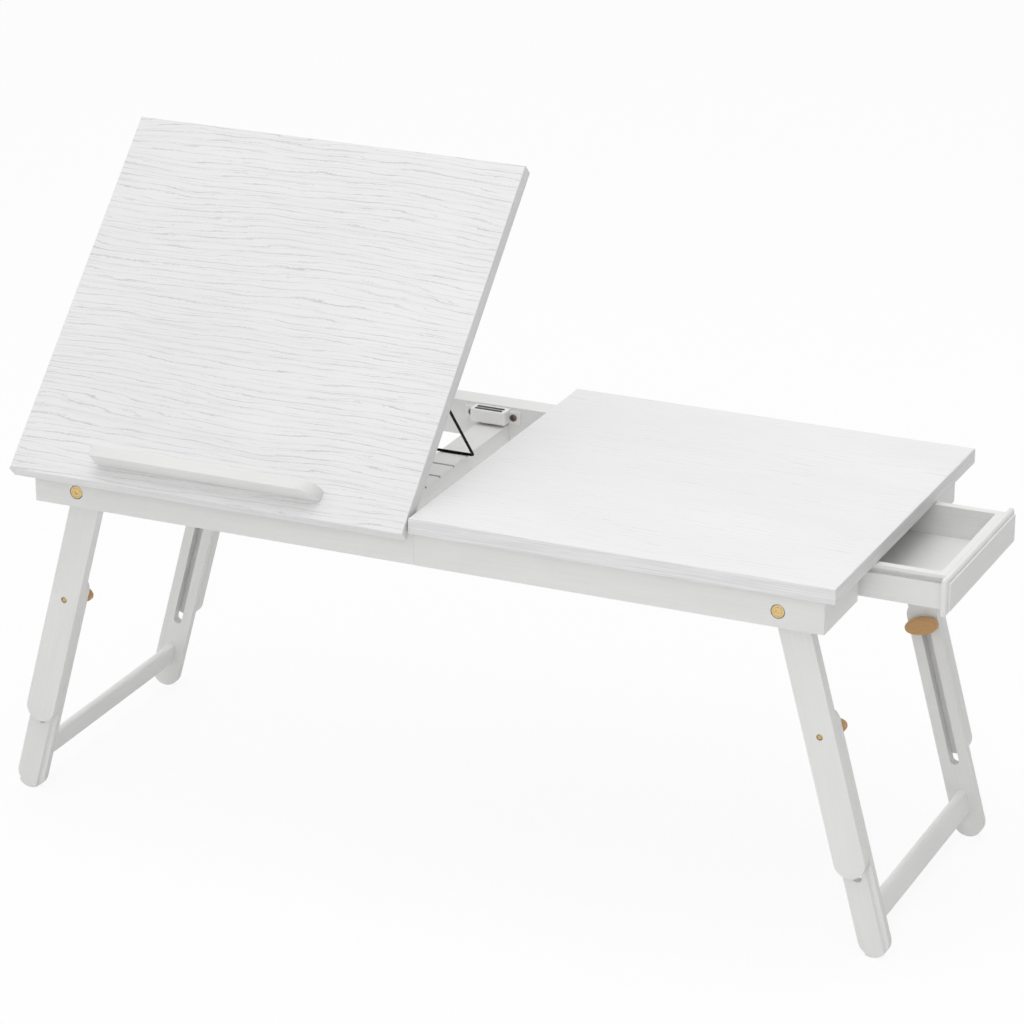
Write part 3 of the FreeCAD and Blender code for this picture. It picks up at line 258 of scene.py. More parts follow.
def paint_groove_shade(tree, colour, low, high):
    """Painted shade: grey where a level or sloping face is below `high`, fully so below `low`."""
    inputs = add_node(tree, "ShaderNodeTexCoord").outputs
    point = add_node(tree, "ShaderNodeSeparateXYZ", None, Vector=inputs["Object"]).outputs
    normal = add_node(tree, "ShaderNodeSeparateXYZ", None, Vector=inputs["Normal"]).outputs
    below = remap(tree, point["Z"], low, high, 1, 0)
    sideways = arithmetic(tree, "ABSOLUTE", normal["X"])
    not_an_end = arithmetic(tree, "LESS_THAN", sideways, 0.5)
    # How strongly the painted shade covers a hollow.
    shaded = arithmetic(tree, "MULTIPLY", arithmetic(tree, "MULTIPLY", below, not_an_end), 0.8)
    return blend_colours(tree, shaded, colour, groove_shade_grey)


def rail_paint(name, tone, direction, face, shade_heights=None):
    """Smooth white coat. Between the two optional heights, in metres, hollows get painted shade."""
    material = bpy.data.materials.new(name)
    material.use_nodes = True
    tree = material.node_tree
    shader = tree.nodes["Principled BSDF"]
    parts = along_grain(tree, direction, face)
    streaks = stretched_noise(tree, parts, (1.3, 70, 1.3), detail=4.0)
    streaks = remap(tree, streaks, 0.48, 0.74, 0, 1)
    drift = stretched_noise(tree, parts, (28, 120, 28), detail=2.0, shift=4.0)
    darker = tuple(value * 0.955 for value in tone)
    streaked = tuple(value * 0.90 for value in tone)
    ground = blend_colours(tree, remap(tree, drift, 0.32, 0.68, 0, 1), tone, darker)
    colour = blend_colours(tree, arithmetic(tree, "MULTIPLY", streaks, 0.45), ground, streaked)
    if shade_heights:
        colour = paint_groove_shade(tree, colour, *shade_heights)
    tree.links.new(colour, shader.inputs["Base Color"])
    peel = stretched_noise(tree, parts, (1.4, 1.9, 1.4), detail=1.5, shift=9.0)
    tree.links.new(remap(tree, peel, 0.3, 0.7, 0.38, 0.48), shader.inputs["Roughness"])
    peel_height = arithmetic(tree, "MULTIPLY", peel, 0.35)
    height = arithmetic(tree, "MULTIPLY_ADD", streaks, -0.5, peel_height)
    bump = add_node(tree, "ShaderNodeBump", None, Strength=0.35, Distance=0.00012, Height=height)
    tree.links.new(bump.outputs[0], shader.inputs["Normal"])
    shader.inputs["Specular IOR Level"].default_value = 0.36
    return material


print("rail paint recipe ready")

# %% [markdown]
# One recipe gives all the coats. They differ in the way that the grain runs, and a little in
# tone: the cross bars are the whitest, as painted light from the floor below them, and the
# drawer is a touch warmer. The legs splay by 15 degrees, to the left and to the right, so each
# side has its own grain direction.

# %% Coats for rails, legs, bars and drawer
lengthwise, crosswise, upward = (1, 0, 0), (0, 1, 0), (0, 0, 1)
off_white = (0.80, 0.80, 0.79)
# Painted light: the cross bars are whiter than the rest of the frame paint, for light from below.
lit_bar_white = (0.87, 0.87, 0.86)
drawer_white = (0.79, 0.788, 0.78)
splay = math.radians(15)
right_leg_line = (math.sin(splay), 0, -math.cos(splay))
left_leg_line = (-math.sin(splay), 0, -math.cos(splay))
beam_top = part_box("prop_beam")[1].z
groove_heights = (beam_top - 0.0009, beam_top - 0.0002)
lengthwise_rail_paint = rail_paint("rail paint along the table", off_white, lengthwise, upward)
crosswise_rail_paint = rail_paint("rail paint across the table", off_white, crosswise, upward)
right_leg_paint = rail_paint("right leg paint", off_white, right_leg_line, crosswise)
left_leg_paint = rail_paint("left leg paint", off_white, left_leg_line, crosswise)
lit_bar_paint = rail_paint("lit cross bar paint", lit_bar_white, crosswise, upward)
# Painted shade: this coat paints the beam's grooves dark grey.
beam_paint = rail_paint("beam paint with painted groove shade", off_white, crosswise, upward, groove_heights)
ledge_paint = rail_paint("ledge paint", off_white, lengthwise, leaning_face)
long_drawer_paint = rail_paint("drawer paint along the table", drawer_white, lengthwise, upward)
cross_drawer_paint = rail_paint("drawer paint across the table", drawer_white, crosswise, upward)
print("coats: 9, grooves worn below", round(groove_heights[1], 4), "m")

# %% [markdown]
# ## Metals and plastics
# The small fittings give the eye something crisp. Satin brass has a fine grit and slightly duller
# patches. The knobs are tan plastic with a soft mottled grain. The prop is black lacquered wire,
# the catch is white plastic with blackened steel plates, and the hinges are plain bright steel.
# One function serves all of them: what differs is the two tones, how metallic and how rough they
# are, the size of the noise in millimetres, the height of the bump in metres, and the gloss.

# %% Fittings
def fitting_finish(name, tone, second_tone, metallic, smooth, rough, cell, bump_height, gloss=0.5):
    material = bpy.data.materials.new(name)
    material.use_nodes = True
    tree = material.node_tree
    shader = tree.nodes["Principled BSDF"]
    parts = along_grain(tree, (0, 0, 1), (0, 1, 0))
    patches = stretched_noise(tree, parts, (cell * 6, cell * 6, cell * 6), detail=3.0)
    grit = stretched_noise(tree, parts, (cell, cell, cell), detail=3.0, shift=6.0)
    colour = blend_colours(tree, remap(tree, patches, 0.3, 0.7, 0, 1), tone, second_tone)
    tree.links.new(colour, shader.inputs["Base Color"])
    tree.links.new(remap(tree, grit, 0.3, 0.7, smooth, rough), shader.inputs["Roughness"])
    bump = add_node(tree, "ShaderNodeBump", None, Strength=0.5, Distance=bump_height, Height=grit)
    tree.links.new(bump.outputs[0], shader.inputs["Normal"])
    shader.inputs["Metallic"].default_value = metallic
    shader.inputs["Specular IOR Level"].default_value = gloss
    return material


satin_brass = fitting_finish("satin brass", (0.80, 0.62, 0.32), (0.71, 0.53, 0.26),
                             1.0, 0.24, 0.38, 0.5, 0.00002)
threaded_brass = fitting_finish("threaded brass", (0.66, 0.49, 0.24), (0.54, 0.38, 0.17),
                                1.0, 0.32, 0.48, 0.4, 0.00003)
tan_plastic = fitting_finish("tan knob plastic", (0.58, 0.345, 0.155), (0.52, 0.30, 0.13),
                             0.0, 0.42, 0.56, 0.35, 0.00003, gloss=0.25)
black_lacquer = fitting_finish("black lacquer", (0.003, 0.003, 0.003), (0.006, 0.006, 0.006),
                               0.0, 0.50, 0.64, 0.6, 0.00002, gloss=0.05)
blackened_steel = fitting_finish("blackened steel", (0.055, 0.053, 0.052), (0.09, 0.085, 0.08),
                                 0.8, 0.36, 0.55, 0.5, 0.00002)
catch_plastic = fitting_finish("white catch plastic", (0.86, 0.855, 0.845), (0.83, 0.825, 0.815),
                               0.0, 0.36, 0.46, 0.5, 0.00002)
bright_steel = fitting_finish("bright steel", (0.60, 0.59, 0.57), (0.50, 0.49, 0.47),
                              1.0, 0.26, 0.42, 0.5, 0.00002)
screw_steel = fitting_finish("browned screw steel", (0.20, 0.165, 0.14), (0.13, 0.105, 0.09),
                             0.9, 0.34, 0.52, 0.4, 0.00002)
print("fitting finishes: 8")

# %% [markdown]
# ## Give every measured sub-part its finish
# Each sub-part has one finish, so its material slots are cleared and filled with one material. A
# table of names to finishes is easy to read and to change.

# %% Finishes by sub-part
corners = ("front_left", "front_right", "back_right", "back_left")
finishes = {
    "tilting_top": raised_board_paint, "fixed_top": flat_board_paint, "book_stop": ledge_paint,
    "front_rail_left": lengthwise_rail_paint, "front_rail_right": lengthwise_rail_paint,
    "back_rail_left": lengthwise_rail_paint, "back_rail_right": lengthwise_rail_paint,
    "left_end_rail": crosswise_rail_paint, "right_end_block_front": crosswise_rail_paint,
    "right_end_block_back": crosswise_rail_paint, "centre_rail": crosswise_rail_paint,
    "prop_beam": beam_paint, "drawer_runner_front": lengthwise_rail_paint,
    "drawer_runner_back": lengthwise_rail_paint, "cross_bar_left": lit_bar_paint,
    "cross_bar_right": lit_bar_paint,
    "drawer_front": cross_drawer_paint, "drawer_inner_front": cross_drawer_paint,
    "drawer_back": cross_drawer_paint, "drawer_side_front": long_drawer_paint,
    "drawer_side_back": long_drawer_paint, "drawer_floor": long_drawer_paint,
    "prop_wire": black_lacquer, "prop_bracket_left": catch_plastic,
    "prop_bracket_right": catch_plastic,
    "catch_body": catch_plastic, "catch_plates": blackened_steel, "catch_screws": screw_steel,
    "strike_plate": bright_steel, "pivot_screws": satin_brass,
    "clamp_inserts_left": threaded_brass, "clamp_inserts_right": threaded_brass,
}
for corner in corners:
    leg_paint = left_leg_paint if corner.endswith("left") else right_leg_paint
    finishes[f"upper_leg_{corner}"] = leg_paint
    finishes[f"lower_leg_{corner}"] = leg_paint
    finishes[f"clamp_bolt_{corner}"] = threaded_brass
    finishes[f"clamp_knob_{corner}"] = tan_plastic
for end in ("left", "right"):
    for piece in ("frame_leaf", "board_leaf", "pin"):
        finishes[f"hinge_{end}_{piece}"] = bright_steel
for name, node in nodes.items():
    node.data.materials.clear()
    node.data.materials.append(finishes[name])
print("sub-parts with a finish:", len(finishes), "of", len(nodes))

# %% [markdown]
# ## Softened edges
# No edge of painted wood is razor sharp: sanding takes a little off and the paint rounds it
# further, so each edge catches a thin line of light. The Bevel modifier does this without
# touching the measured mesh. The mesh arrives as loose triangles, so a Weld modifier joins them
# first, and a Decimate modifier in its planar mode melts the triangles of each flat face into
# one. Without that, a bevel beside a round hole throws a dark streak along the long triangles.

# %% Soften the edges
def soften_edges(name, radius, steps=3):
    node = nodes[name]
    weld = node.modifiers.new("join faces", "WELD")
    weld.merge_threshold = 0.000002
    flatten = node.modifiers.new("one face per flat", "DECIMATE")
    flatten.decimate_type = "DISSOLVE"
    flatten.angle_limit = math.radians(0.4)
    bevel = node.modifiers.new("soft edges", "BEVEL")
    bevel.width = radius
    bevel.segments = steps
    bevel.limit_method = "ANGLE"
    bevel.angle_limit = math.radians(40)
    bevel.harden_normals = True


edge_radii = {"book_stop": 0.0005, "catch_body": 0.0003, "drawer_front": 0.0002,
              "strike_plate": 0.0001}
for name in ("front_rail_left", "front_rail_right", "back_rail_left", "back_rail_right",
             "left_end_rail", "right_end_block_front", "right_end_block_back", "centre_rail",
             "prop_beam", "drawer_runner_front", "drawer_runner_back"):
    edge_radii[name] = 0.0005
for name in ("drawer_side_front", "drawer_side_back", "drawer_inner_front", "drawer_back"):
    edge_radii[name] = 0.0003
for corner in corners:
    edge_radii[f"upper_leg_{corner}"] = 0.0007
    edge_radii[f"lower_leg_{corner}"] = 0.0006
    edge_radii[f"clamp_bolt_{corner}"] = 0.0003
for name, radius in edge_radii.items():
    soften_edges(name, radius)
print("softened:", len(edge_radii), "sub-parts")

# %% [markdown]
# ## A skin over rings
# Knobs and screws are both made of rings of points, one above the other, with a skin over them.
# Both ends are closed, so the piece is solid. Smooth shading is broken where two faces meet at a
# clear angle, because a turned groove or a rim should stay crisp.

# %% Skin helpers
crisp_angle = math.radians(38)


def shade_by_angle(data):
    for face in data.polygons:
        face.use_smooth = True
    data.set_sharp_from_angle(angle=crisp_angle)


def skin_rings(name, rings):
    """One closed skin over a stack of rings with the same number of points."""
    mesh = bmesh.new()
    rows = [[mesh.verts.new(point) for point in ring] for ring in rings]
    count = len(rows[0])
    for lower, upper in zip(rows, rows[1:]):
        for step in range(count):
            following = (step + 1) % count
            mesh.faces.new((lower[step], lower[following], upper[following], upper[step]))
    mesh.faces.new(rows[0][::-1])
    mesh.faces.new(rows[-1])
    bmesh.ops.recalc_face_normals(mesh, faces=mesh.faces)
    data = bpy.data.meshes.new(name)
    mesh.to_mesh(data)
    mesh.free()
    shade_by_angle(data)
    piece = bpy.data.objects.new(name, data)
    scene.collection.objects.link(piece)
    return piece


print("skin helpers ready")

# %% [markdown]
# ## Rounded hand knobs
# The measured knob is an oval block on a round boss. A moulded knob is softer: its rim rolls over
# and its face is slightly domed. Every ring of its skin is the same oval, drawn in a little and
# moved outward, so that the rings stacked together make the rolled rim. The rim's roll stops a
# hair short of the full height, and the dome makes up the rest.

# %% Knob shape
boss_radius = 0.0063
boss_height = 0.0016
knob_half_length = 0.0133
knob_half_width = 0.0066
knob_thickness = 0.0066
knob_rim = 0.0024
rim_rise = 0.92
dome_height = 0.00019


def oval_ring(half_length, half_width, height, count=72, fullness=0.92):
    """Points of an oval at one height. It is a little fuller than an ellipse."""
    ring = []
    for step in range(count):
        turn = 2 * math.pi * step / count
        across = math.copysign(abs(math.cos(turn)) ** fullness, math.cos(turn))
        up = math.copysign(abs(math.sin(turn)) ** fullness, math.sin(turn))
        ring.append((half_length * across, height, half_width * up))
    return ring


def knob_rings():
    rings = [oval_ring(boss_radius, boss_radius, height) for height in (0, boss_height)]
    for inset, rise in ((0.0008, 0), (0.0003, 0.0003), (0, 0.0008)):
        height = boss_height + rise
        rings.append(oval_ring(knob_half_length - inset, knob_half_width - inset, height))
    shoulder = boss_height + knob_thickness - knob_rim
    for step in range(7):
        turn = math.radians(90 * step / 6)
        inset = knob_rim * (1 - math.cos(turn))
        height = shoulder + knob_rim * math.sin(turn) * rim_rise
        rings.append(oval_ring(knob_half_length - inset, knob_half_width - inset, height))
    face_length = knob_half_length - knob_rim
    face_width = knob_half_width - knob_rim
    face_height = boss_height + knob_thickness - dome_height
    for share, rise in ((0.66, 0.00010), (0.36, 0.00016), (0.10, dome_height)):
        rings.append(oval_ring(face_length * share, face_width * share, face_height + rise))
    return rings


print("rings in a knob:", len(knob_rings()))

# %% [markdown]
# The four knobs sit on the inner sides of the legs, so the front pair faces back and the back
# pair faces front. Each leans with its leg. The skin is moved to where the measured knob is, and
# rides on that knob's body, so that it turns with its bolt.

# %% Knobs in place
for corner in corners:
    low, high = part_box(f"clamp_knob_{corner}")
    middle = (low + high) / 2
    turned = 0 if corner.startswith("front") else math.pi
    lean = splay if corner in ("front_left", "back_right") else -splay
    base_y = low.y if turned == 0 else high.y
    knob = skin_rings(f"knob_{corner}", knob_rings())
    knob.data.materials.append(tan_plastic)
    spot = Matrix.Translation((middle.x, base_y, middle.z))
    knob.data.transform(spot @ Matrix.Rotation(turned, 4, "Z") @ Matrix.Rotation(lean, 4, "Y"))
    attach(knob, f"knob_{corner}")
    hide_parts(f"clamp_knob_{corner}")
print("knobs:", len(corners))

# %% [markdown]
# ## The bent wire prop
# A curve object with a round bevel is the natural way to make wire. Bends need real arcs, so each
# corner of the path is replaced with points on an arc, and the curve itself stays a plain
# polyline.

# %% Path with round bends
def rounded_path(points, radius, steps=10):
    """The same path, with each inner corner replaced by points on an arc."""
    path = [points[0]]
    for before, corner, after in zip(points, points[1:], points[2:]):
        back = (before - corner).normalized()
        onward = (after - corner).normalized()
        half_angle = back.angle(onward) / 2
        reach = radius / math.tan(half_angle)
        centre = corner + (back + onward).normalized() * (radius / math.sin(half_angle))
        first = corner + back * reach - centre
        last = corner + onward * reach - centre
        axis = first.cross(last).normalized()
        for step in range(steps + 1):
            path.append(centre + Matrix.Rotation(first.angle(last) * step / steps, 3, axis) @ first)
    path.append(points[-1])
    return path


print("path helper ready")

# %% [markdown]
# The wire stands in one plane: stubs turned out at the pivots, legs drawing together, and a flat
# foot. Its upper end is found from the pivot, and its foot from the measured wire's box. The
# measured foot floats a hair above its groove, so here it is lowered onto it. It goes no lower,
# because the same foot has to clear the beam when the board lies flat.

# %% Path of the wire
wire_radius = 0.0011
bend_radius = 0.0026
sink = 0.0004
spread = 0.0377
foot_reach = 0.0170
pivot = Vector(joints["prop_swing"]["pos_m"])
wire_low, wire_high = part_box("prop_wire")
foot = Vector((pivot.x, wire_high.y - wire_radius, wire_low.z + wire_radius - sink))
stub_reach = (wire_high.x - wire_low.x) / 2
sideways = Vector((1, 0, 0))
stub_end, leg_top, foot_end = sideways * stub_reach, sideways * spread, sideways * foot_reach
wire_corners = [pivot - stub_end, pivot - leg_top, foot - foot_end,
                foot + foot_end, pivot + leg_top, pivot + stub_end]
wire_path = rounded_path(wire_corners, bend_radius)
print("points along the wire:", len(wire_path))

# %% [markdown]
# The curve follows those points. Its bevel depth is the wire's radius, and its open ends are
# closed with caps. It rides on the prop's body, which swings as the board comes down.

# %% Wire
wire_curve = bpy.data.curves.new("bent_wire_prop", "CURVE")
wire_curve.dimensions = "3D"
wire_curve.bevel_depth = wire_radius
wire_curve.bevel_resolution = 6
wire_curve.use_fill_caps = True
spline = wire_curve.splines.new("POLY")
spline.points.add(len(wire_path) - 1)
for point, place in zip(spline.points, wire_path):
    point.co = (*place, 1)
wire = bpy.data.objects.new("bent_wire_prop", wire_curve)
scene.collection.objects.link(wire)
wire_curve.materials.append(black_lacquer)
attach(wire, "prop")
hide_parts("prop_wire")
print("wire diameter:", round(2 * wire_curve.bevel_depth, 4), "m")

# %% [markdown]
# ## Turned pieces and cut sockets
# A screw head is turned from a profile, and a Boolean modifier takes the socket out of it. The
# modifier's result is then stored as the mesh, so that the cutter can be thrown away. The two
# arms of a cross pass through each other, so the modifier is told that its cutter crosses itself.
# Without that, the result is empty. A cutter stands a tenth of a millimetre out of the head,
# because two faces in one plane would confuse the cut.

# %% Turning and carving
cutter_overshoot = 0.0001


def turned_mesh(name, profile, count=40):
    """Mesh turned about its own Z axis from (radius, height) pairs, with flat ends."""
    rings = []
    for radius, height in profile:
        turns = [2 * math.pi * step / count for step in range(count)]
        rings.append([(radius * math.cos(turn), radius * math.sin(turn), height) for turn in turns])
    return skin_rings(name, rings)


def store_cutter(name, mesh):
    data = bpy.data.meshes.new(name)
    mesh.to_mesh(data)
    mesh.free()
    cutter = bpy.data.objects.new(name, data)
    scene.collection.objects.link(cutter)
    return cutter


def carve(piece, cutter):
    """Take the cutter out of the piece, and keep the result as the piece's mesh."""
    modifier = piece.modifiers.new("cut", "BOOLEAN")
    modifier.operation = "DIFFERENCE"
    modifier.object = cutter
    modifier.solver = "EXACT"
    modifier.use_self = True
    bpy.context.view_layer.update()
    finished = piece.evaluated_get(bpy.context.evaluated_depsgraph_get())
    carved = bpy.data.meshes.new_from_object(finished)
    piece.modifiers.clear()
    piece.data = carved
    shade_by_angle(carved)
    bpy.data.objects.remove(cutter)


def set_down(piece, spot, outward, turn=0.0):
    """Stand a turned piece on a spot with its head facing outward."""
    facing = Vector(outward).to_track_quat("Z", "Y").to_matrix().to_4x4()
    piece.data.transform(Matrix.Translation(spot) @ facing @ Matrix.Rotation(turn, 4, "Z"))


print("turning helpers ready")

# %% [markdown]
# ## Screws with a cross in the head
# A pan head is a low dome with a cross for the driver. The cross narrows toward its bottom, as
# the point of a driver does. Its arm, width and depth are shares of the head's size.

# %% Cross and pan head
bottom_share = 0.45


def cross_cutter(arm, width, depth, top):
    mesh = bmesh.new()
    for turn in (0, math.pi / 2):
        arm_block = bmesh.ops.create_cube(mesh, size=1)["verts"]
        bmesh.ops.scale(mesh, vec=(2 * arm, width, depth), verts=arm_block)
        for vert in arm_block:
            if vert.co.z < 0:
                vert.co.x *= bottom_share
        bmesh.ops.translate(mesh, vec=(0, 0, top - depth / 2 + cutter_overshoot), verts=arm_block)
        quarter = Matrix.Rotation(turn, 3, "Z")
        bmesh.ops.rotate(mesh, cent=(0, 0, 0), matrix=quarter, verts=arm_block)
    return store_cutter("cross_cutter", mesh)


def pan_screw(name, radius, height, shank_radius, shank_length):
    profile = [(shank_radius, -shank_length), (shank_radius, 0), (radius, 0)]
    for step in range(7):
        turn = math.radians(90 * step / 6)
        out = radius * (0.72 + 0.28 * math.cos(turn))
        profile.append((out, height * (0.28 + 0.62 * math.sin(turn))))
    profile.append((radius * 0.3, height))
    screw = turned_mesh(name, profile)
    carve(screw, cross_cutter(radius * 0.62, radius * 0.22, height * 0.75, height))
    return screw


print("screw helpers ready")

# %% [markdown]
# Two such screws hold the catch to the back rail, and they face the front. Their measured
# stand-ins say where they are: one at each end of the sub-part's box. One new screw takes the
# place of both.

# %% Catch screws
head_radius = 0.0029
head_height = 0.0016
shank_radius = 0.0015
low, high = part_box("catch_screws")
head_base, middle = low.y + head_height, (low.z + high.z) / 2
shank_length = high.y - low.y - head_height
for side, across in (("left", low.x + head_radius), ("right", high.x - head_radius)):
    screw = pan_screw(f"catch_screw_{side}", head_radius, head_height, shank_radius, shank_length)
    set_down(screw, Vector((across, head_base, middle)), (0, -1, 0), 0.5)
    screw.data.materials.clear()
    screw.data.materials.append(screw_steel)
    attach(screw, "frame")
    if side == "left":
        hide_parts("catch_screws")
print("catch screws: 2")

# %% [markdown]
# ## Brass pivot screws
# The four screws that the legs fold on have broad flat caps, let into the rails. A real cap is
# turned: it has a rolled rim, a fine ring groove, a low disc inside it and a six-sided socket for
# the key. A turned profile gives the first three, and a six-sided prism is cut out for the
# socket.

# %% Key socket
def six_sided_cutter(flat_radius, depth, top):
    corner_radius = flat_radius / math.cos(math.radians(30))
    mesh = bmesh.new()
    bmesh.ops.create_cone(mesh, cap_ends=True, segments=6, radius1=corner_radius,
                          radius2=corner_radius, depth=depth)
    lift = top - depth / 2 + cutter_overshoot
    bmesh.ops.translate(mesh, vec=(0, 0, lift), verts=mesh.verts)
    return store_cutter("six_sided_cutter", mesh)


print("socket helper ready")

# %% [markdown]
# A profile is a list of distances from the axis, each with a height. The cap's starts at the tip
# of the shank, which runs back through the rail into the leg. It goes out to the rim, rolls over
# it, dips into the ring groove and ends on the disc. A dark ring lies under each cap and shows
# round it as painted shade in the gap between cap and rail. The socket is shallower than the cap,
# so that brass is left at its bottom.

# %% Cap and washer
cap_radius = 0.0049
cap_height = 0.0024
pivot_shank_radius = 0.0040
pivot_shank_length = 0.0248
socket_half_width = 0.00175
socket_depth = 0.0013
cap_profile = [
    (0.0037, -pivot_shank_length), (pivot_shank_radius, 0.0003 - pivot_shank_length),
    (pivot_shank_radius, 0), (cap_radius, 0), (cap_radius, 0.0019), (0.0048, 0.0022),
    (0.0045, 0.00235), (0.00375, 0.00235), (0.0036, 0.0020), (0.0032, 0.0020),
    (0.00305, 0.00235), (0.0028, cap_height), (0.0006, cap_height),
]
# Painted shade: a dark ring under each cap stands in for the shadow in the gap round it.
shade_ring_profile = [(0.0053, -0.0001), (0.0053, 0.0010), (cap_radius, 0.0010)]
print("brass below the socket:", round(cap_height - socket_depth + cutter_overshoot, 5), "m")

# %% [markdown]
# The caps stand at the four corners of their stand-in's box, two facing the front and two the
# back. Each screw is turned by another angle, as hand-driven screws are. The first one takes the
# stand-in's place.

# %% Pivot screws
low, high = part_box("pivot_screws")
height = (low.z + high.z) / 2
places = [("front_left", low.x + cap_radius, low.y), ("front_right", high.x - cap_radius, low.y),
          ("back_left", low.x + cap_radius, high.y), ("back_right", high.x - cap_radius, high.y)]
for count, (corner, across, face) in enumerate(places):
    outward = (0, -1, 0) if corner.startswith("front") else (0, 1, 0)
    spot = Vector((across, face - outward[1] * cap_height, height))
    screw = turned_mesh(f"pivot_screw_{corner}", cap_profile, 48)
    carve(screw, six_sided_cutter(socket_half_width, socket_depth, cap_height))
    set_down(screw, spot, outward, 0.4 + 0.7 * count)
    screw.data.materials.clear()
    screw.data.materials.append(satin_brass)
    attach(screw, "frame")
    if count == 0:
        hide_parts("pivot_screws")
    # The dark ring under the cap is painted shade for the gap round it.
    shade_ring = turned_mesh(f"pivot_shade_ring_{corner}", shade_ring_profile, 48)
    set_down(shade_ring, spot, outward)
    shade_ring.data.materials.append(blackened_steel)
    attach(shade_ring, "frame")
print("pivot screws:", len(places))

# %% [markdown]
# ## Small countersunk screws
# The hinge leaves are held by small flat-headed screws, set all but flush so that the board can
# close over them. Only the head can be seen, so each one is a small turned cone with a cross cut
# in it. All of them are copies of one mesh. The board leaves lean with the board, so their screws
# are laid out in the board's own directions, from the hinge axis.

# %% One countersunk head
proud = 0.00003
flat_profile = [(0.0011, -0.0009), (0.00205, -0.0001), (0.0021, 0),
                (0.0019, proud), (0.0003, proud)]
flat_screw = turned_mesh("countersunk_screw", flat_profile, 28)
carve(flat_screw, cross_cutter(0.00135, 0.0005, 0.0006, proud))
flat_screw.data.materials.clear()
flat_screw.data.materials.append(bright_steel)
flat_mesh = flat_screw.data
bpy.data.objects.remove(flat_screw)


def sink_screw(name, spot, outward, body, turn):
    screw = bpy.data.objects.new(name, flat_mesh.copy())
    scene.collection.objects.link(screw)
    set_down(screw, spot, outward, turn)
    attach(screw, body)


print("faces in a countersunk head:", len(flat_mesh.polygons))

# %% [markdown]
# Each leaf has three holes in a shallow zigzag, which keeps the wood from splitting along one
# line of grain. Only the middle hole is out of line. Real screws stop at any angle, so each gets
# its own turn.

# %% Hinge screws
hinge_axis = Vector(joints["top_tilt"]["pos_m"])
board_along = Vector((0, math.cos(tilt), math.sin(tilt)))
board_up = Vector(leaning_face)
rail_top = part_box("front_rail_left")[1].z
board_leaf_under = 0.0019
hole_pitch = 0.018
middle_hole_from_back, outer_hole_from_back = 0.0045, 0.0080
middle_hole_from_axis, outer_hole_from_axis = 0.0130, 0.0095
count = 0
for end in ("left", "right"):
    low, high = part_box(f"hinge_{end}_frame_leaf")
    for step, across in enumerate((-hole_pitch, 0.0, hole_pitch)):
        middle = (low.x + high.x) / 2 + across
        from_back = middle_hole_from_back if step == 1 else outer_hole_from_back
        frame_spot = Vector((middle, high.y - from_back, rail_top))
        sink_screw(f"frame_screw_{end}_{step}", frame_spot, (0, 0, 1), "frame", 0.3 + step)
        along = middle_hole_from_axis if step == 1 else outer_hole_from_axis
        on_axis = Vector((middle, hinge_axis.y, hinge_axis.z))
        board_spot = on_axis + board_along * along + board_up * board_leaf_under
        sink_screw(f"board_screw_{end}_{step}", board_spot, -board_up, "tilting_board", 0.8 + step)
        count += 2
print("countersunk screws:", count)

# %% [markdown]
# ## Floor
# The photograph has the tray alone on white. A pale floor carries a soft shadow. For camera rays,
# most of the floor's shading gives way to an even white, so that it reads as white while the
# shadow stays. No other ray sees that white, so it adds no light to the tray.

# %% Floor
floor_reach = 14
white_share = 0.88
floor_mesh = bpy.data.meshes.new("pale_floor")
signs = ((-1, -1), (1, -1), (1, 1), (-1, 1))
floor_corners = [(floor_reach * across, floor_reach * along, 0) for across, along in signs]
floor_mesh.from_pydata(floor_corners, [], [(0, 1, 2, 3)])
floor = bpy.data.objects.new("pale_floor", floor_mesh)
scene.collection.objects.link(floor)
floor_material = bpy.data.materials.new("pale floor")
floor_material.use_nodes = True
tree = floor_material.node_tree
plaster = tree.nodes["Principled BSDF"]
plaster.inputs["Base Color"].default_value = (0.92, 0.92, 0.92, 1)
plaster.inputs["Roughness"].default_value = 0.9
plaster.inputs["Specular IOR Level"].default_value = 0.1
even_white = add_node(tree, "ShaderNodeEmission", None, Strength=1.0)
camera_ray = add_node(tree, "ShaderNodeLightPath").outputs["Is Camera Ray"]
share = arithmetic(tree, "MULTIPLY", camera_ray, white_share)
mixed = add_node(tree, "ShaderNodeMixShader", None, _0=share, _1=plaster.outputs[0],
                 _2=even_white.outputs[0])
tree.links.new(mixed.outputs[0], tree.nodes["Material Output"].inputs["Surface"])
floor_mesh.materials.append(floor_material)
print("floor reaches", floor_reach, "m each way")

# %% [markdown]
# ## World
# The camera and reflections see a plain white world, as in a white room. For the light that it
# gives, the world is a soft studio: brightest overhead and dim on the right, which gives the
# tops, the fronts and the right-hand faces their three tones.

# %% World light
level_light = 0.60
overhead_gain = 0.52
right_loss = 0.72
least_light = 0.05
world = bpy.data.worlds.new("white room")
scene.world = world
world.use_nodes = True
tree = world.node_tree
tree.nodes.clear()
paths = add_node(tree, "ShaderNodeLightPath").outputs
mirrored = arithmetic(tree, "MAXIMUM", paths["Is Glossy Ray"], paths["Is Transmission Ray"])
seen = arithmetic(tree, "MAXIMUM", paths["Is Camera Ray"], mirrored)
view_line = add_node(tree, "ShaderNodeTexCoord").outputs["Generated"]
direction = add_node(tree, "ShaderNodeSeparateXYZ", None, Vector=view_line)
overhead = arithmetic(tree, "MAXIMUM", direction.outputs["Z"], 0.0)
rightward = arithmetic(tree, "MAXIMUM", direction.outputs["X"], 0.0)
studio = arithmetic(tree, "MULTIPLY_ADD", overhead, overhead_gain, level_light)
studio = arithmetic(tree, "MULTIPLY_ADD", rightward, -right_loss, studio)
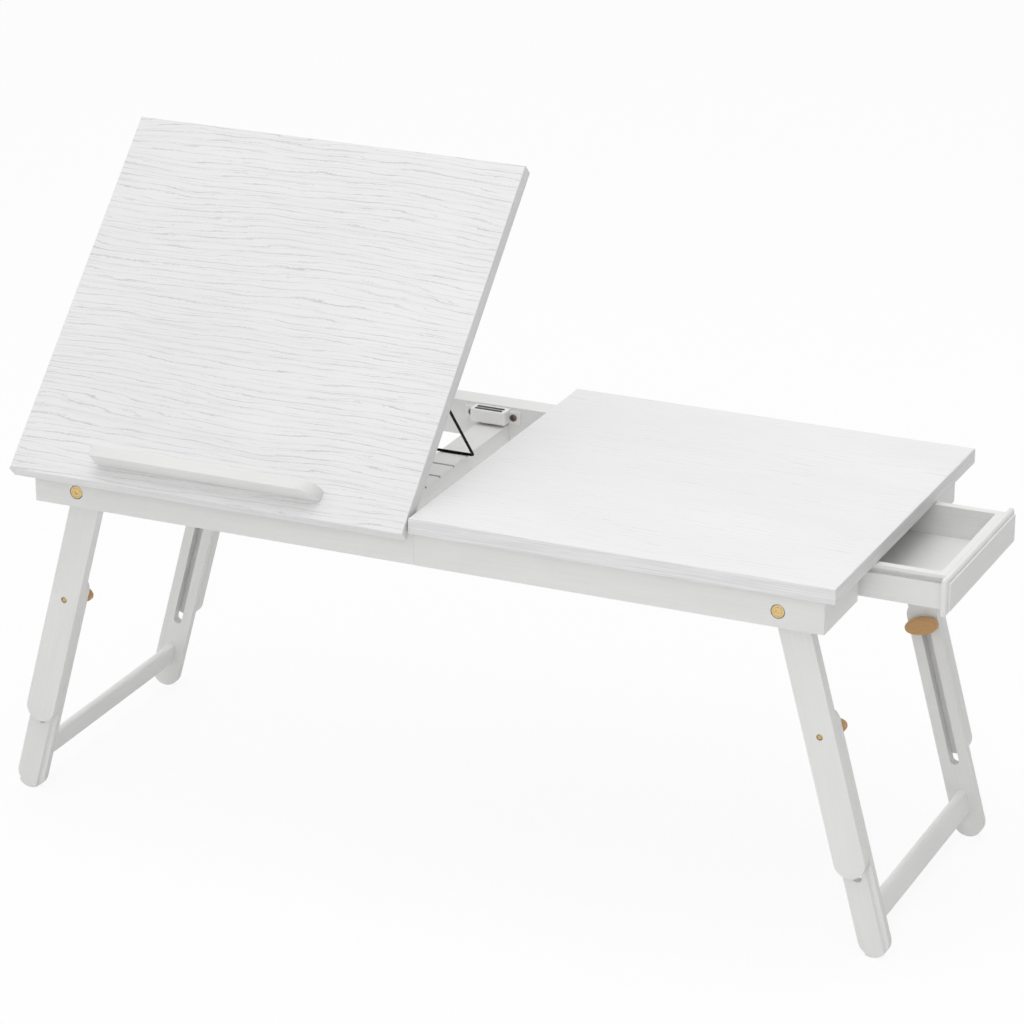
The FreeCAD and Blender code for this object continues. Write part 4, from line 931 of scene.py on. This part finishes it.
studio = arithmetic(tree, "MAXIMUM", studio, least_light)
to_white = arithmetic(tree, "SUBTRACT", 1.0, studio)
strength = arithmetic(tree, "MULTIPLY_ADD", to_white, seen, studio)
sky = add_node(tree, "ShaderNodeBackground", None, Color=(1, 1, 1, 1), Strength=strength)
add_node(tree, "ShaderNodeOutputWorld", None, Surface=sky.outputs[0])
print("world nodes:", len(tree.nodes))

# %% [markdown]
# ## Lamps
# A wide softbox overhead gives the tops their white and the soft shadows under the stop, the
# drawer and the boards. A smaller one, lower and in front, lifts the faces of the legs and rails.
# Both aim at the middle of the tray.

# %% Lamps
def lamp(name, place, width, power, target=(0, 0, 0.2)):
    light = bpy.data.lights.new(name, "AREA")
    light.shape = "SQUARE"
    light.size = width
    light.energy = power
    holder = bpy.data.objects.new(name, light)
    scene.collection.objects.link(holder)
    holder.location = place
    aim = Vector(target) - Vector(place)
    holder.rotation_euler = aim.to_track_quat("-Z", "Y").to_euler()
    return holder


softboxes = [lamp("overhead softbox", (0.35, -0.30, 3.0), 2.2, 21),
             lamp("front softbox", (0.95, -1.75, 1.20), 0.9, 5.2)]
print("lamps:", len(softboxes))

# %% [markdown]
# ## Camera
# The camera stands to the right of the front, a little above the tray, with a long lens, as in
# the photograph. A long lens from far away keeps the edges nearly parallel. The place, the angles
# and the lens were worked out from the tray's edges in the photograph.

# %% Camera
camera_data = bpy.data.cameras.new("camera")
camera_data.sensor_width = 36
camera_data.lens = 142.03
camera_data.clip_end = 60
camera = bpy.data.objects.new("camera", camera_data)
scene.collection.objects.link(camera)
camera_place = (1.17772, -2.61005, 1.36795)
azimuth = math.radians(24.202)
elevation = math.radians(21.259)
roll = math.radians(0.077)
heading = Matrix.Rotation(azimuth, 4, "Z")
dip = Matrix.Rotation(math.pi / 2 - elevation, 4, "X")
aim = heading @ dip @ Matrix.Rotation(roll, 4, "Z")
camera.matrix_world = Matrix.Translation(camera_place) @ aim
scene.camera = camera
scene.view_settings.view_transform = "Standard"
print("camera at", [round(value, 3) for value in camera_place])
